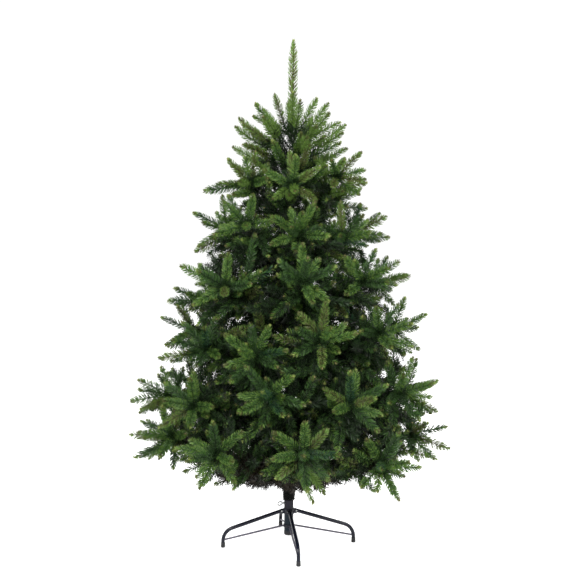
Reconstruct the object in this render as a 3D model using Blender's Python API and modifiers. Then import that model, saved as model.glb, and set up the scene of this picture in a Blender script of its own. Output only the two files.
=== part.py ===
"""Artificial Christmas tree, 1.8 m tall, on a folding steel stand with four legs.

A steel pole stands in the stand's tube. Rings of wire boughs leave the pole and fork into twigs.
Each twig ends in a star of moulded needle tips. One seeded rule grows every twig and tip.
Azimuth 0 faces the front, -Y, and grows towards the right, +X.
"""

import math
import random
from collections import namedtuple

import bmesh
import bpy
from mathutils import Matrix, Vector

MM = 0.001
GAP = 0.3 * MM

# The whole tree
TREE_HEIGHT = 1.800
POLE_LEAN = math.radians(0.5)
SEED = 21

# Stand: a tube with a floor, a hub that carries the legs, and a collar that holds the braces
LEG_TURN = math.radians(7.5)
FOOT_CIRCLE_R = 234 * MM
TUBE_R = 16.5 * MM
TUBE_BORE_R = 15.6 * MM
TUBE_FOOT_Z = 37 * MM
TUBE_FLOOR_Z = 51 * MM
TUBE_TOP_Z = 172 * MM
END_CAP_R = 17.1 * MM
END_CAP_EDGE = 1.5 * MM
ROUND_STEPS = 16
SHARP_DEGREES = 50

HUB_R = 19.8 * MM
HUB_LOW_Z, HUB_TOP_Z = 112 * MM, 130 * MM
EAR_THICK = 2.0 * MM
EAR_CLEARANCE = 1.0 * MM
EAR_START, EAR_REACH = 16 * MM, 31 * MM
EAR_LOW_Z, EAR_TOP_Z = 113.5 * MM, 127.5 * MM
PIVOT_R = 2.2 * MM
PIVOT_REACH = 26 * MM
PIN_HEAD = 1.2 * MM
PIN_SIDES, BORE_SIDES = 6, 8

LEG_TUBE_R = 5.75 * MM
LEG_TOP = (22 * MM, 123 * MM)
LEG_BEND_START = (201 * MM, 67 * MM)
LEG_END_Z = 4 * MM
LEG_BEND_POINTS = 5
LEG_SIDES_RESOLUTION = 2

FOOT_CAP_R = 7.3 * MM
FOOT_CAP_H = 17 * MM
FOOT_CAP_SIDES = 8
FOOT_CAP_TAPER = 0.4 * MM
FOOT_CAP_EDGE, FOOT_CAP_EDGE_Z = 0.8 * MM, 3 * MM

COLLAR_R = 19.4 * MM
COLLAR_LOW_Z, COLLAR_TOP_Z = 64 * MM, 75 * MM
BRACE_R = 1.7 * MM
BRACE_SIDES = 6
BRACE_FOOT_Z = 27 * MM

SCREW_Z = 150 * MM
SCREW_AZIMUTH = -66
SCREW_R = 2.5 * MM
SCREW_REACH = 12 * MM
SCREW_SIDES = 8
SCREW_EYE_R = 8.0 * MM
SCREW_WIRE_R = 2.0 * MM
SCREW_EYE_TILT = math.radians(65)
SCREW_EYE_STEPS, SCREW_WIRE_SIDES = 10, 6

# Pole: three lengths of tube, each slimmer than the one below
POLE_FOOT_Z = TUBE_FLOOR_Z + GAP
POLE_STEPS = ((0.74, 14.9 * MM), (1.16, 11.5 * MM), (1.34, 8.0 * MM))
WRAP_R = 18.5 * MM
WRAP_LOW_Z = TUBE_TOP_Z + 1.0 * MM
POLE_SHOULDER = 6 * MM
RING_PLATE_R = 24 * MM
RING_PLATE_H = 6 * MM
POLE_SIDES = 12

# Needle tips: two flared rows of needles on a slim core, as (share of length, share of radius).
# The notch between them is turned by half a step, so that the wide row's corners stand out as teeth.
TIP_WIDE, TIP_NOTCH, TIP_SECOND = (0.40, 1.00), (0.50, 0.66), (0.82, 0.86)
TIP_ROOT_SHARE = 0.3
TIP_SLIMNESS = 0.17
TIP_SIDES = 3
STAR_EDGE = 13 * MM
STAR_TIP_LENGTH = {"lead": 1.00, "near": 0.95, "side": 0.84}
TIP_JITTER = 0.10
TIP_TURN = 0.42
TIP_SHORTEST = 0.93
TRIES, GENTLE_TRIES = 12, 4
TIP_CLEARANCE = 2 * MM
LOWEST_TIP_Z = 0.215
HANGING = -0.68

# Sleeves: the bushy needles round a twig, as (share of length, share of radius)
SLEEVE_PROFILE = ((0.0, 0.12), (0.30, 0.92), (0.44, 0.66), (0.76, 1.0), (0.97, 0.08))
SLEEVE_SIDES = 4
SLEEVE_NOTCH = 2
SLEEVE_ROLL, SLEEVE_ROLL_STEP = 0.4, 0.5
STEM_R = 6 * MM
STEM_SIDES = 4

# Rings of boughs, from the ground up. Heights and reaches are of the star's centre.
Ring = namedtuple("Ring", "name pole_z boughs phase star_r star_z lift tip sleeve bough_end")
RINGS = (
    Ring("ring1", 0.238, 5, -11.0, 0.435, 0.385, 9, 0.145, 0.076, 0.170),
    Ring("ring2", 0.405, 5, 7.0, 0.415, 0.545, 14, 0.145, 0.072, 0.170),
    Ring("ring3", 0.585, 5, 36.0, 0.350, 0.730, 18, 0.142, 0.068, 0.130),
    Ring("ring4", 0.775, 4, 27.0, 0.305, 0.905, 22, 0.140, 0.066, 0.0),
    Ring("ring5", 0.960, 4, 28.0, 0.235, 1.090, 30, 0.138, 0.056, 0.0),
    Ring("ring6", 1.125, 3, -28.0, 0.165, 1.255, 42, 0.136, 0.044, 0.0),
)
FORK_SHARE = 0.25
FORK_REACH_SHARE = 0.30
FORK_BEYOND_BOUGH = 0.03
STAR_JITTER_R = 0.016
STAR_JITTER_Z = 0.038
STAR_JITTER_AZIMUTH = 3.0
BOUGH_R = (6.5 * MM, 4.5 * MM)
BOUGH_SIDES = 6

# Top of the tree: the leader and the rows of short tips round its foot
LEADER_R = 16 * MM
LEADER_ROLL = 0.4
TOP_FOOT_Z = POLE_STEPS[-1][0] + GAP
TOP_STEM_R = 7 * MM
TOP_STEM_REACH = 30 * MM
TOP_STEM_SIDES = 6
TOP_TIP_ROLL = 0.7
LEADER_FOOT_Z = 1.400
TOP_TIP_R = 20 * MM
TOP_JITTER_AZIMUTH, TOP_JITTER_LIFT = 8, 5
TOP_SHORTEST = 0.9
TopRow = namedtuple("TopRow", "z count phase lift length")
TOP_ROWS = (
    TopRow(1.352, 6, 5.0, 14, 0.225),
    TopRow(1.372, 6, -22.0, 32, 0.255),
    TopRow(1.400, 5, 10.0, 48, 0.235),
    TopRow(1.425, 4, 8.0, 64, 0.200),
)


def clear_scene():
    for obj in list(bpy.data.objects):
        bpy.data.objects.remove(obj, do_unlink=True)


def new_collection(name):
    group = bpy.data.collections.new(name)
    bpy.context.scene.collection.children.link(group)
    return group


def principled(name, colour, roughness, metallic=0.0):
    material = bpy.data.materials.new(name)
    material.use_nodes = True
    shader = material.node_tree.nodes["Principled BSDF"]
    shader.inputs["Base Color"].default_value = (*colour, 1.0)
    shader.inputs["Roughness"].default_value = roughness
    shader.inputs["Metallic"].default_value = metallic
    return material


def direction(azimuth, elevation):
    """Unit vector from degrees: azimuth 0 is the front, and elevation is above the horizon."""
    a, e = math.radians(azimuth), math.radians(elevation)
    return Vector((math.sin(a) * math.cos(e), -math.cos(a) * math.cos(e), math.sin(e)))


def axis_point(z):
    """The pole's centre at a height: it leans a little to the right, from the top of the stand's tube."""
    return Vector((max(0.0, z - TUBE_TOP_Z) * math.tan(POLE_LEAN), 0.0, z))


def place(obj, group, material):
    for old in list(obj.users_collection):
        old.objects.unlink(obj)
    group.objects.link(obj)
    obj.data.materials.clear()
    obj.data.materials.append(material)
    return obj


def mesh_from_bmesh(name, bm):
    mesh = bpy.data.meshes.new(name)
    bm.to_mesh(mesh)
    bm.free()
    return mesh


def object_from_bmesh(name, bm):
    return bpy.data.objects.new(name, mesh_from_bmesh(name, bm))


def smooth(obj):
    obj.data.shade_smooth()
    obj.data.set_sharp_from_angle(angle=math.radians(SHARP_DEGREES))


def turned(name, profile, steps=ROUND_STEPS):
    """A solid turned about Z. The profile is (radius, z) pairs that run down the outer side."""
    bm = bmesh.new()
    points = [bm.verts.new((r, 0.0, z)) for r, z in profile]
    for a, b in zip(points, points[1:]):
        bm.edges.new((a, b))
    obj = object_from_bmesh(name, bm)
    screw = obj.modifiers.new("Turn", "SCREW")
    screw.axis = "Z"
    screw.steps = screw.render_steps = steps
    screw.use_merge_vertices = True
    screw.merge_threshold = 0.0001 * MM
    screw.use_smooth_shade = False
    return obj


def meshed(obj, group=None):
    """The evaluated shape of an object as a plain mesh object, in place of the object."""
    home = group or bpy.context.scene.collection
    if not obj.users_collection:
        home.objects.link(obj)
    bpy.context.view_layer.update()
    graph = bpy.context.evaluated_depsgraph_get()
    mesh = bpy.data.meshes.new_from_object(obj.evaluated_get(graph))
    bm = bmesh.new()
    bm.from_mesh(mesh)
    bmesh.ops.remove_doubles(bm, verts=bm.verts, dist=0.01 * MM)
    bmesh.ops.recalc_face_normals(bm, faces=bm.faces)
    bm.to_mesh(mesh)
    bm.free()
    name, matrix = obj.name, obj.matrix_world.copy()
    bpy.data.objects.remove(obj, do_unlink=True)
    made = bpy.data.objects.new(name, mesh)
    made.matrix_world = matrix
    home.objects.link(made)
    return made


def bar_between(name, start, end, r_start, r_end, sides):
    """A straight tapering bar between two points."""
    along = end - start
    bm = bmesh.new()
    bmesh.ops.create_cone(
        bm, cap_ends=True, segments=sides, radius1=r_start, radius2=r_end, depth=along.length
    )
    turn = along.to_track_quat("Z", "Y").to_matrix().to_4x4()
    bm.transform(Matrix.Translation((start + end) / 2) @ turn)
    return object_from_bmesh(name, bm)


def tube_along(name, points):
    """A leg's round bar along a polyline, with filled ends."""
    curve = bpy.data.curves.new(name, "CURVE")
    curve.dimensions = "3D"
    curve.bevel_depth = LEG_TUBE_R
    curve.bevel_resolution = LEG_SIDES_RESOLUTION
    curve.use_fill_caps = True
    line = curve.splines.new("POLY")
    line.points.add(len(points) - 1)
    for point, place_at in zip(line.points, points):
        point.co = (*place_at, 1.0)
    return bpy.data.objects.new(name, curve)


def boolean(obj, operation, operand):
    """Cuts or joins obj with one object, or with each object of a collection, and applies it."""
    step = obj.modifiers.new("Boolean", "BOOLEAN")
    step.operation = operation
    step.solver = "EXACT"
    if isinstance(operand, bpy.types.Collection):
        step.operand_type = "COLLECTION"
        step.collection = operand
        used = list(operand.objects)
    else:
        step.object = operand
        used = [operand]
    bpy.context.view_layer.update()
    graph = bpy.context.evaluated_depsgraph_get()
    mesh = bpy.data.meshes.new_from_object(obj.evaluated_get(graph))
    obj.modifiers.clear()
    obj.data = mesh
    for other in used:
        bpy.data.objects.remove(other, do_unlink=True)
    return obj


def keep_outer_shell(obj):
    """Keeps the largest closed shell, so that a sealed hollow is filled and a loose scrap dropped."""
    bm = bmesh.new()
    bm.from_mesh(obj.data)
    bmesh.ops.triangulate(bm, faces=bm.faces)
    bm.faces.ensure_lookup_table()
    seen, shells = set(), []
    for face in bm.faces:
        if face in seen:
            continue
        shell, front = set(), [face]
        seen.add(face)
        while front:
            here = front.pop()
            shell.add(here)
            for edge in here.edges:
                for near in edge.link_faces:
                    if near not in seen:
                        seen.add(near)
                        front.append(near)
        shells.append(shell)
    volumes = [
        sum(f.verts[0].co.dot(f.verts[1].co.cross(f.verts[2].co)) for f in shell) for shell in shells
    ]
    largest = shells[volumes.index(max(volumes))]
    bmesh.ops.delete(bm, geom=[f for f in bm.faces if f not in largest], context="FACES")
    bm.to_mesh(obj.data)
    bm.free()


# The stand


def stand_direction(quarter):
    a = LEG_TURN + quarter * math.pi / 2
    return Vector((math.cos(a), math.sin(a), 0.0))


def in_leg_plane(quarter, r, z):
    return stand_direction(quarter) * r + Vector((0.0, 0.0, z))


def make_stand_tube():
    profile = [
        (0.0, TUBE_FLOOR_Z),
        (TUBE_BORE_R, TUBE_FLOOR_Z),
        (TUBE_BORE_R, TUBE_TOP_Z),
        (TUBE_R, TUBE_TOP_Z),
        (TUBE_R, TUBE_FLOOR_Z),
        (END_CAP_R, TUBE_FLOOR_Z - END_CAP_EDGE),
        (END_CAP_R, TUBE_FOOT_Z + END_CAP_EDGE),
        (END_CAP_R - END_CAP_EDGE, TUBE_FOOT_Z),
        (0.0, TUBE_FOOT_Z),
    ]
    return turned("stand_tube", profile)


def make_collar():
    r_in = TUBE_R + GAP
    profile = [
        (r_in, COLLAR_LOW_Z),
        (r_in, COLLAR_TOP_Z),
        (COLLAR_R, COLLAR_TOP_Z),
        (COLLAR_R, COLLAR_LOW_Z),
        (r_in, COLLAR_LOW_Z),
    ]
    return turned("brace_collar", profile)


def make_hub(group):
    """The welded ring round the tube's top, with a pair of ears and a pivot pin for each leg."""
    r_in = TUBE_R + GAP
    ring = [
        (r_in, HUB_LOW_Z),
        (r_in, HUB_TOP_Z),
        (HUB_R, HUB_TOP_Z),
        (HUB_R, HUB_LOW_Z),
        (r_in, HUB_LOW_Z),
    ]
    hub = meshed(turned("leg_hub", ring), group)
    pieces = new_collection("hub_pieces")
    half_gap = LEG_TUBE_R + EAR_CLEARANCE
    for quarter in range(4):
        out = stand_direction(quarter)
        across = Vector((-out.y, out.x, 0.0))
        turn = Matrix.Rotation(LEG_TURN + quarter * math.pi / 2, 4, "Z")
        for side in (-1, 1):
            bm = bmesh.new()
            bmesh.ops.create_cube(bm, size=1.0)
            size = Matrix.Diagonal((EAR_REACH - EAR_START, EAR_THICK, EAR_TOP_Z - EAR_LOW_Z, 1.0))
            middle = out * (EAR_REACH + EAR_START) / 2 + across * side * (half_gap + EAR_THICK / 2)
            middle.z = (EAR_LOW_Z + EAR_TOP_Z) / 2
            bm.transform(Matrix.Translation(middle) @ turn @ size)
            pieces.objects.link(object_from_bmesh("ear", bm))
        centre = in_leg_plane(quarter, PIVOT_REACH, leg_height(PIVOT_REACH))
        half = across * (half_gap + EAR_THICK + PIN_HEAD)
        pin = bar_between("pin", centre - half, centre + half, PIVOT_R, PIVOT_R, PIN_SIDES)
        pieces.objects.link(pin)
    boolean(hub, "UNION", pieces)
    keep_outer_shell(hub)
    bpy.data.collections.remove(pieces)
    return hub


def leg_height(r):
    """The straight run's centre line."""
    (r0, z0), (r1, z1) = LEG_TOP, LEG_BEND_START
    return z0 + (z1 - z0) * (r - r0) / (r1 - r0)


def leg_line():
    """The leg's centre line as (radius, z): straight, then one bend down to the foot."""
    (r0, z0), (r1, z1) = LEG_TOP, LEG_BEND_START
    slope = math.atan2(z0 - z1, r1 - r0)
    bend_r = (FOOT_CIRCLE_R - r1) / (1 - math.sin(slope))
    points = [LEG_TOP, LEG_BEND_START]
    for i in range(1, LEG_BEND_POINTS + 1):
        heading = slope + (math.pi / 2 - slope) * i / LEG_BEND_POINTS
        r = r1 + bend_r * (math.sin(heading) - math.sin(slope))
        z = z1 - bend_r * (math.cos(slope) - math.cos(heading))
        points.append((r, z))
    points.append((FOOT_CIRCLE_R, LEG_END_Z))
    return points


def leg_reach(z):
    """How far out the centre line is at a height on the bend or below it."""
    line = leg_line()
    for (r0, z0), (r1, z1) in zip(line, line[1:]):
        if z1 <= z <= z0:
            return r0 + (r1 - r0) * (z0 - z) / (z0 - z1)
    return FOOT_CIRCLE_R


def make_leg(name, quarter, group):
    """A bent tube with a cross hole for the hub's pivot pin."""
    line = [in_leg_plane(quarter, r, z) for r, z in leg_line()]
    leg = meshed(tube_along(name, line), group)
    out = stand_direction(quarter)
    across = Vector((-out.y, out.x, 0.0)) * 2 * LEG_TUBE_R
    centre = in_leg_plane(quarter, PIVOT_REACH, leg_height(PIVOT_REACH))
    bore_r = (PIVOT_R + GAP) / math.cos(math.pi / BORE_SIDES)
    bore = bar_between("bore", centre - across, centre + across, bore_r, bore_r, BORE_SIDES)
    group.objects.link(bore)
    return boolean(leg, "DIFFERENCE", bore)


def make_foot_cap(name, quarter):
    """A rubber cup on the leg's end, with its flat sole on the floor."""
    r_in = (LEG_TUBE_R + GAP) / math.cos(math.pi / FOOT_CAP_SIDES)
    profile = [
        (0.0, LEG_END_Z - GAP),
        (r_in, LEG_END_Z - GAP),
        (r_in, FOOT_CAP_H),
        (FOOT_CAP_R - FOOT_CAP_TAPER, FOOT_CAP_H),
        (FOOT_CAP_R, FOOT_CAP_EDGE_Z),
        (FOOT_CAP_R - FOOT_CAP_EDGE, 0.0),
        (0.0, 0.0),
    ]
    cap = turned(name, profile, FOOT_CAP_SIDES)
    cap.location = in_leg_plane(quarter, FOOT_CIRCLE_R, 0.0)
    return cap


def make_brace(name, quarter):
    """The wire that holds the leg open, from the collar to the inner side of the foot."""
    z = (COLLAR_LOW_Z + COLLAR_TOP_Z) / 2
    slope = (z - BRACE_FOOT_Z) / (FOOT_CIRCLE_R - COLLAR_R)
    clear = GAP + BRACE_R * slope
    inner = in_leg_plane(quarter, COLLAR_R + clear, z)
    outer = in_leg_plane(quarter, leg_reach(BRACE_FOOT_Z) - LEG_TUBE_R - clear - GAP, BRACE_FOOT_Z)
    return bar_between(name, inner, outer, BRACE_R, BRACE_R, BRACE_SIDES)


def make_thumb_screw(group):
    """An eye screw through the tube's side, which clamps the pole."""
    out = direction(SCREW_AZIMUTH, 0)
    at = Vector((0.0, 0.0, SCREW_Z))
    start, end = TUBE_R + GAP, TUBE_R + SCREW_REACH
    screw = bar_between("thumb_screw", at + out * start, at + out * end, SCREW_R, SCREW_R, SCREW_SIDES)
    group.objects.link(screw)
    eye_at = at + out * (end + SCREW_EYE_R - SCREW_WIRE_R)
    bpy.ops.mesh.primitive_torus_add(
        major_radius=SCREW_EYE_R,
        minor_radius=SCREW_WIRE_R,
        major_segments=SCREW_EYE_STEPS,
        minor_segments=SCREW_WIRE_SIDES,
    )
    eye = bpy.context.object
    tilt = Matrix.Rotation(SCREW_EYE_TILT, 4, "X")
    turn = Matrix.Rotation(math.radians(SCREW_AZIMUTH - 90), 4, "Z")
    eye.data.transform(Matrix.Translation(eye_at) @ turn @ tilt)
    boolean(screw, "UNION", eye)
    keep_outer_shell(screw)
    return screw


# The pole


def make_pole():
    """Three telescoped lengths, with a round hinge plate at each ring and a wrapped band at the foot."""
    outline = [(0.0, POLE_STEPS[-1][0])]
    plates = sorted((ring.pole_z for ring in RINGS), reverse=True)
    lengths = list(reversed(POLE_STEPS))
    for i, (top, r) in enumerate(lengths):
        foot = lengths[i + 1][0] if i + 1 < len(lengths) else POLE_FOOT_Z
        outline.append((r, top))
        for z in (p for p in plates if foot < p < top):
            high, low = z + RING_PLATE_H / 2, z - RING_PLATE_H / 2
            outline += [(r, high), (RING_PLATE_R, high), (RING_PLATE_R, low), (r, low)]
        last = foot == POLE_FOOT_Z
        if last:
            outline[-1] = (WRAP_R, outline[-1][1])
            outline += [(WRAP_R, WRAP_LOW_Z), (r, WRAP_LOW_Z)]
        outline.append((r, foot if last else foot + POLE_SHOULDER))
    outline.append((0.0, POLE_FOOT_Z))
    return turned("centre_pole", outline, POLE_SIDES)


def lean_mesh(obj):
    """Shears a mesh so that its axis follows the pole's lean."""
    for vertex in obj.data.vertices:
        vertex.co.x += axis_point(vertex.co.z).x


# The crown's growth rule


Twig = namedtuple("Twig", "start end")


class Star:
    """A twig's end, with the frame that its tips are set out in."""

    def __init__(self, twig, azimuth, lift, roll):
        self.twig = twig
        axis = direction(azimuth, lift)
        across = Vector((math.cos(math.radians(azimuth)), math.sin(math.radians(azimuth)), 0.0))
        frame = Matrix((across, axis.cross(across), axis)).transposed()
        self.turn = frame @ Matrix.Rotation(roll, 3, "Z")
        self.tips = {}


class Mass:
    """One mass of foliage: its bough, its stem and its two forked twigs with their stars."""

    def __init__(self, name, ring, bough, stem):
        self.name = name
        self.ring = ring
        self.bough = bough
        self.stem = stem
        self.stars = []


def gap_between(a0, a1, b0, b1):
    """The least distance between two segments."""
    u, v, w = a1 - a0, b1 - b0, a0 - b0
    a, b, c, d, e = u.dot(u), u.dot(v), v.dot(v), u.dot(w), v.dot(w)
    bottom = a * c - b * b
    s = 0.0 if bottom < 1e-12 else min(1.0, max(0.0, (b * e - c * d) / bottom))
    t = min(1.0, max(0.0, (b * s + e) / c)) if c > 1e-12 else 0.0
    s = min(1.0, max(0.0, (b * t - d) / a)) if a > 1e-12 else 0.0
    return ((a0 + u * s) - (b0 + v * t)).length


def limb_slope(ring):
    return (ring.star_z - ring.pole_z) / (ring.star_r - RING_PLATE_R)


def limb_point(ring, azimuth, reach):
    """A point on a limb's straight line, which runs from its ring's plate to the height of its stars."""
    rise = Vector((0.0, 0.0, limb_slope(ring) * (reach - RING_PLATE_R)))
    return axis_point(ring.pole_z) + direction(azimuth, 0) * reach + rise


def limb_start(ring, azimuth):
    """Where a limb starts: its square end just clears the rim of the ring's plate."""
    slope = limb_slope(ring)
    clear = (slope * RING_PLATE_H / 2 + GAP * math.hypot(1.0, slope)) / (1 + slope * slope)
    return limb_point(ring, azimuth, RING_PLATE_R + clear)


def plan_masses():
    """Boughs, stems and twigs of every ring, before any tip grows."""
    rng = random.Random(SEED)
    masses = []
    for ring in RINGS:
        for i in range(ring.boughs):
            azimuth = ring.phase + 360 * i / ring.boughs
            start, bough = limb_start(ring, azimuth), None
            fork_r = max(ring.bough_end + FORK_BEYOND_BOUGH, FORK_REACH_SHARE * ring.star_r)
            fork = limb_point(ring, azimuth, fork_r)
            if ring.bough_end:
                end = limb_point(ring, azimuth, ring.bough_end)
                bough = (start, end)
                start = end + (end - start).normalized() * GAP
            mass = Mass(f"foliage_{ring.name}_{i + 1}", ring, bough, Twig(start, fork))
            for side in (-1, 1):
                aim = azimuth + side * FORK_SHARE * 360 / ring.boughs
                aim += rng.uniform(-STAR_JITTER_AZIMUTH, STAR_JITTER_AZIMUTH)
                reach = ring.star_r + rng.uniform(-STAR_JITTER_R, STAR_JITTER_R)
                centre = axis_point(ring.star_z) + direction(aim, 0) * reach
                centre.z += rng.uniform(-STAR_JITTER_Z, STAR_JITTER_Z)
                mass.stars.append(Star(Twig(fork, centre), aim, ring.lift, rng.uniform(0, math.pi / 2)))
            masses.append(mass)
    return masses


def star_faces():
    """The faces of a cuboctahedron, as (kind, outward direction, corners), with its stem face left out.

    The leading tip grows on the square face at +Z, four tips on the slanted triangles round it, and
    four on the upright squares. The lower triangles stay bare. Three corners bear each tip.
    """
    faces = []
    for axis in range(3):
        for sign in (-1, 1):
            out = Vector([sign if k == axis else 0.0 for k in range(3)])
            kind = "side" if axis < 2 else ("lead" if sign > 0 else "stem")
            first, second = Vector([0.0] * 3), Vector([0.0] * 3)
            first[(axis + 1) % 3] = 1.0
            second[(axis + 2) % 3] = 1.0
            corners = [out + first, out + second, out - first, out - second]
            faces.append((kind, out, corners if sign > 0 else corners[::-1]))
    for x in (-1, 1):
        for y in (-1, 1):
            for z in (-1, 1):
                out = Vector((x, y, z)).normalized()
                corners = [Vector((x, y, 0)), Vector((0, y, z)), Vector((x, 0, z))]
                faces.append(("near" if z > 0 else "bare", out, corners if x * y * z > 0 else corners[::-1]))
    size = STAR_EDGE / math.sqrt(2)
    return [(kind, out, [corner * size for corner in corners]) for kind, out, corners in faces]


def is_free(start, end, radius, owner, taken):
    for name, a, b, r in taken:
        if name != owner and gap_between(start, end, a, b) < radius + r + TIP_CLEARANCE:
            return False
    return True


def hangs(star, out):
    """Only the lowest ring has tips that hang straight down."""
    return (star.turn @ out).z < HANGING


def plan_top():
    """The short tips round the leader's foot, row by row, as (root, end) pairs."""
    rng = random.Random(SEED + 2)
    tips = []
    for row in TOP_ROWS:
        for i in range(row.count):
            azimuth = row.phase + 360 * i / row.count
            azimuth += rng.uniform(-TOP_JITTER_AZIMUTH, TOP_JITTER_AZIMUTH)
            way = direction(azimuth, row.lift + rng.uniform(-TOP_JITTER_LIFT, TOP_JITTER_LIFT))
            root = axis_point(row.z)
            tips.append((root, root + way * row.length * rng.uniform(TOP_SHORTEST, 1.0)))
    return tips


def grow_tips(masses, faces, top_tips):
    """Grows each star's tips. One that would touch another mass or a limb is turned, or else skipped."""
    rng = random.Random(SEED + 1)
    top_of_pole = axis_point(POLE_STEPS[-1][0])
    taken = [("pole", axis_point(POLE_FOOT_Z), top_of_pole, RING_PLATE_R)]
    taken += [("top", root, end, TOP_TIP_R) for root, end in top_tips]
    for mass in masses:
        if mass.bough:
            taken.append((mass.name + "_bough", *mass.bough, BOUGH_R[0]))
        taken.append((mass.name, mass.stem.start, mass.stem.end, STEM_R))
        for star in mass.stars:
            taken.append((mass.name, *star.twig, mass.ring.sleeve))
    wanted = grown = 0
    for kind_now in ("lead", "near", "side"):
        for mass in masses:
            radius = mass.ring.tip * TIP_SLIMNESS
            for star in mass.stars:
                for index, (kind, out, _) in enumerate(faces):
                    if kind != kind_now or (mass.ring is not RINGS[0] and hangs(star, out)):
                        continue
                    wanted += 1
                    length = mass.ring.tip * STAR_TIP_LENGTH[kind] * rng.uniform(TIP_SHORTEST, 1.0)
                    for attempt in range(TRIES):
                        spread = TIP_JITTER if attempt < GENTLE_TRIES else TIP_TURN
                        way = Vector([part + rng.uniform(-spread, spread) for part in out])
                        way = star.turn @ way.normalized()
                        root = star.twig.end
                        end = root + way * length
                        body = (root + way * 2 * STAR_EDGE, end - way * radius)
                        if end.z > LOWEST_TIP_Z and is_free(*body, radius, mass.name, taken):
                            star.tips[index] = (way, length)
                            taken.append((mass.name, *body, radius))
                            grown += 1
                            break
    print("tips grown:", grown, "of", wanted)


# The crown's solids


def bridge(bm, low, high, step):
    """Joins two rows of corners. The high row is turned on (1) or back (-1) by half a step, or isn't (0)."""
    for i in range(len(low)):
        k = (i + 1) % len(low)
        if step > 0:
            faces = ((low[i], low[k], high[i]), (low[k], high[k], high[i]))
        elif step < 0:
            faces = ((low[i], high[k], high[i]), (low[i], low[k], high[k]))
        else:
            faces = ((low[i], low[k], high[k], high[i]),)
        for corners in faces:
            bm.faces.new(corners)


def grow_tip_on(bm, corners, way, length, radius):
    """Grows one toothed tip on a face of corners: wide row, notch, second row and point."""
    count = len(corners)
    centre = sum((v.co for v in corners), Vector()) / count
    spokes = [v.co - centre for v in corners]
    between = [spokes[i] + spokes[(i + 1) % count] for i in range(count)]
    low = corners
    for (share, wide), aims, step in (
        (TIP_WIDE, spokes, 0),
        (TIP_NOTCH, between, 1),
        (TIP_SECOND, spokes, -1),
    ):
        flat = [(aim - way * aim.dot(way)).normalized() for aim in aims]
        high = [bm.verts.new(way * length * share + aim * radius * wide) for aim in flat]
        bridge(bm, low, high, step)
        low = high
    point = bm.verts.new(way * length)
    for i in range(count):
        bm.faces.new((low[i], low[(i + 1) % count], point))


def make_star(star, faces, radius):
    """A star as one closed solid: a small many-sided hub with a tip on each face that bears one."""
    bm = bmesh.new()
    shared = {}

    def corner(at):
        key = tuple(round(part / STAR_EDGE, 3) for part in at)
        if key not in shared:
            shared[key] = bm.verts.new(star.turn @ at)
        return shared[key]

    for index, (_, _, corners) in enumerate(faces):
        ends = [corner(at) for at in corners]
        if index not in star.tips:
            bm.faces.new(ends)
            continue
        grow_tip_on(bm, ends[:3], *star.tips[index], radius)
        if len(ends) > 3:
            bm.faces.new((ends[2], ends[3], ends[0]))
    bm.transform(Matrix.Translation(star.twig.end))
    bmesh.ops.recalc_face_normals(bm, faces=bm.faces)
    return object_from_bmesh("star", bm)


def ring_of(bm, z, radius, sides, turn):
    """A row of corners round the Z axis."""
    angles = [math.tau * (i + turn) / sides for i in range(sides)]
    return [bm.verts.new((radius * math.cos(a), radius * math.sin(a), z)) for a in angles]


def make_sleeve_template():
    """The needles round a twig, along +Z, one unit long and one unit in radius."""
    bm = bmesh.new()
    low = None
    for i, (share, wide) in enumerate(SLEEVE_PROFILE):
        turn = 0.5 if i == SLEEVE_NOTCH else 0.0
        high = ring_of(bm, share, wide, SLEEVE_SIDES, turn)
        if low:
            bridge(bm, low, high, 1 if turn else -1 if i == SLEEVE_NOTCH + 1 else 0)
        else:
            bm.faces.new(high[::-1])
        low = high
    bm.faces.new(low)
    return mesh_from_bmesh("sleeve", bm)


def make_tip_template():
    """A lone toothed tip along +Z, one unit long and one unit in radius."""
    bm = bmesh.new()
    root = ring_of(bm, 0.0, TIP_ROOT_SHARE, TIP_SIDES, 0.0)
    bm.faces.new(root[::-1])
    grow_tip_on(bm, root, Vector((0.0, 0.0, 1.0)), 1.0, 1.0)
    return mesh_from_bmesh("tip", bm)


def set_along(template, start, end, radius, roll):
    """A copy of a unit template, laid from start to end."""
    along = end - start
    mesh = template.copy()
    turn = along.to_track_quat("Z", "Y").to_matrix().to_4x4()
    size = Matrix.Diagonal((radius, radius, along.length, 1.0))
    mesh.transform(Matrix.Translation(start) @ turn @ Matrix.Rotation(roll, 4, "Z") @ size)
    return bpy.data.objects.new("piece", mesh)


def join_mass(body, pieces, group, material):
    """Fuses a mass's pieces into its stem as one closed solid."""
    place(body, group, material)
    boolean(body, "UNION", pieces)
    keep_outer_shell(body)
    bpy.data.collections.remove(pieces)
    body.data.materials.clear()
    body.data.materials.append(material)


def make_mass(mass, faces, sleeve, group, material):
    pieces = new_collection("mass_pieces")
    root = mass.stem.end + (mass.stem.end - mass.stem.start).normalized() * STEM_R
    body = bar_between(mass.name, mass.stem.start, root, STEM_R, STEM_R, STEM_SIDES)
    for i, star in enumerate(mass.stars):
        roll = SLEEVE_ROLL + SLEEVE_ROLL_STEP * i
        pieces.objects.link(set_along(sleeve, *star.twig, mass.ring.sleeve, roll))
        pieces.objects.link(make_star(star, faces, mass.ring.tip * TIP_SLIMNESS))
    join_mass(body, pieces, group, material)


def make_bough(mass, group, material):
    bough = bar_between(mass.name.replace("foliage", "bough"), *mass.bough, *BOUGH_R, BOUGH_SIDES)
    place(bough, group, material)
    smooth(bough)


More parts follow.
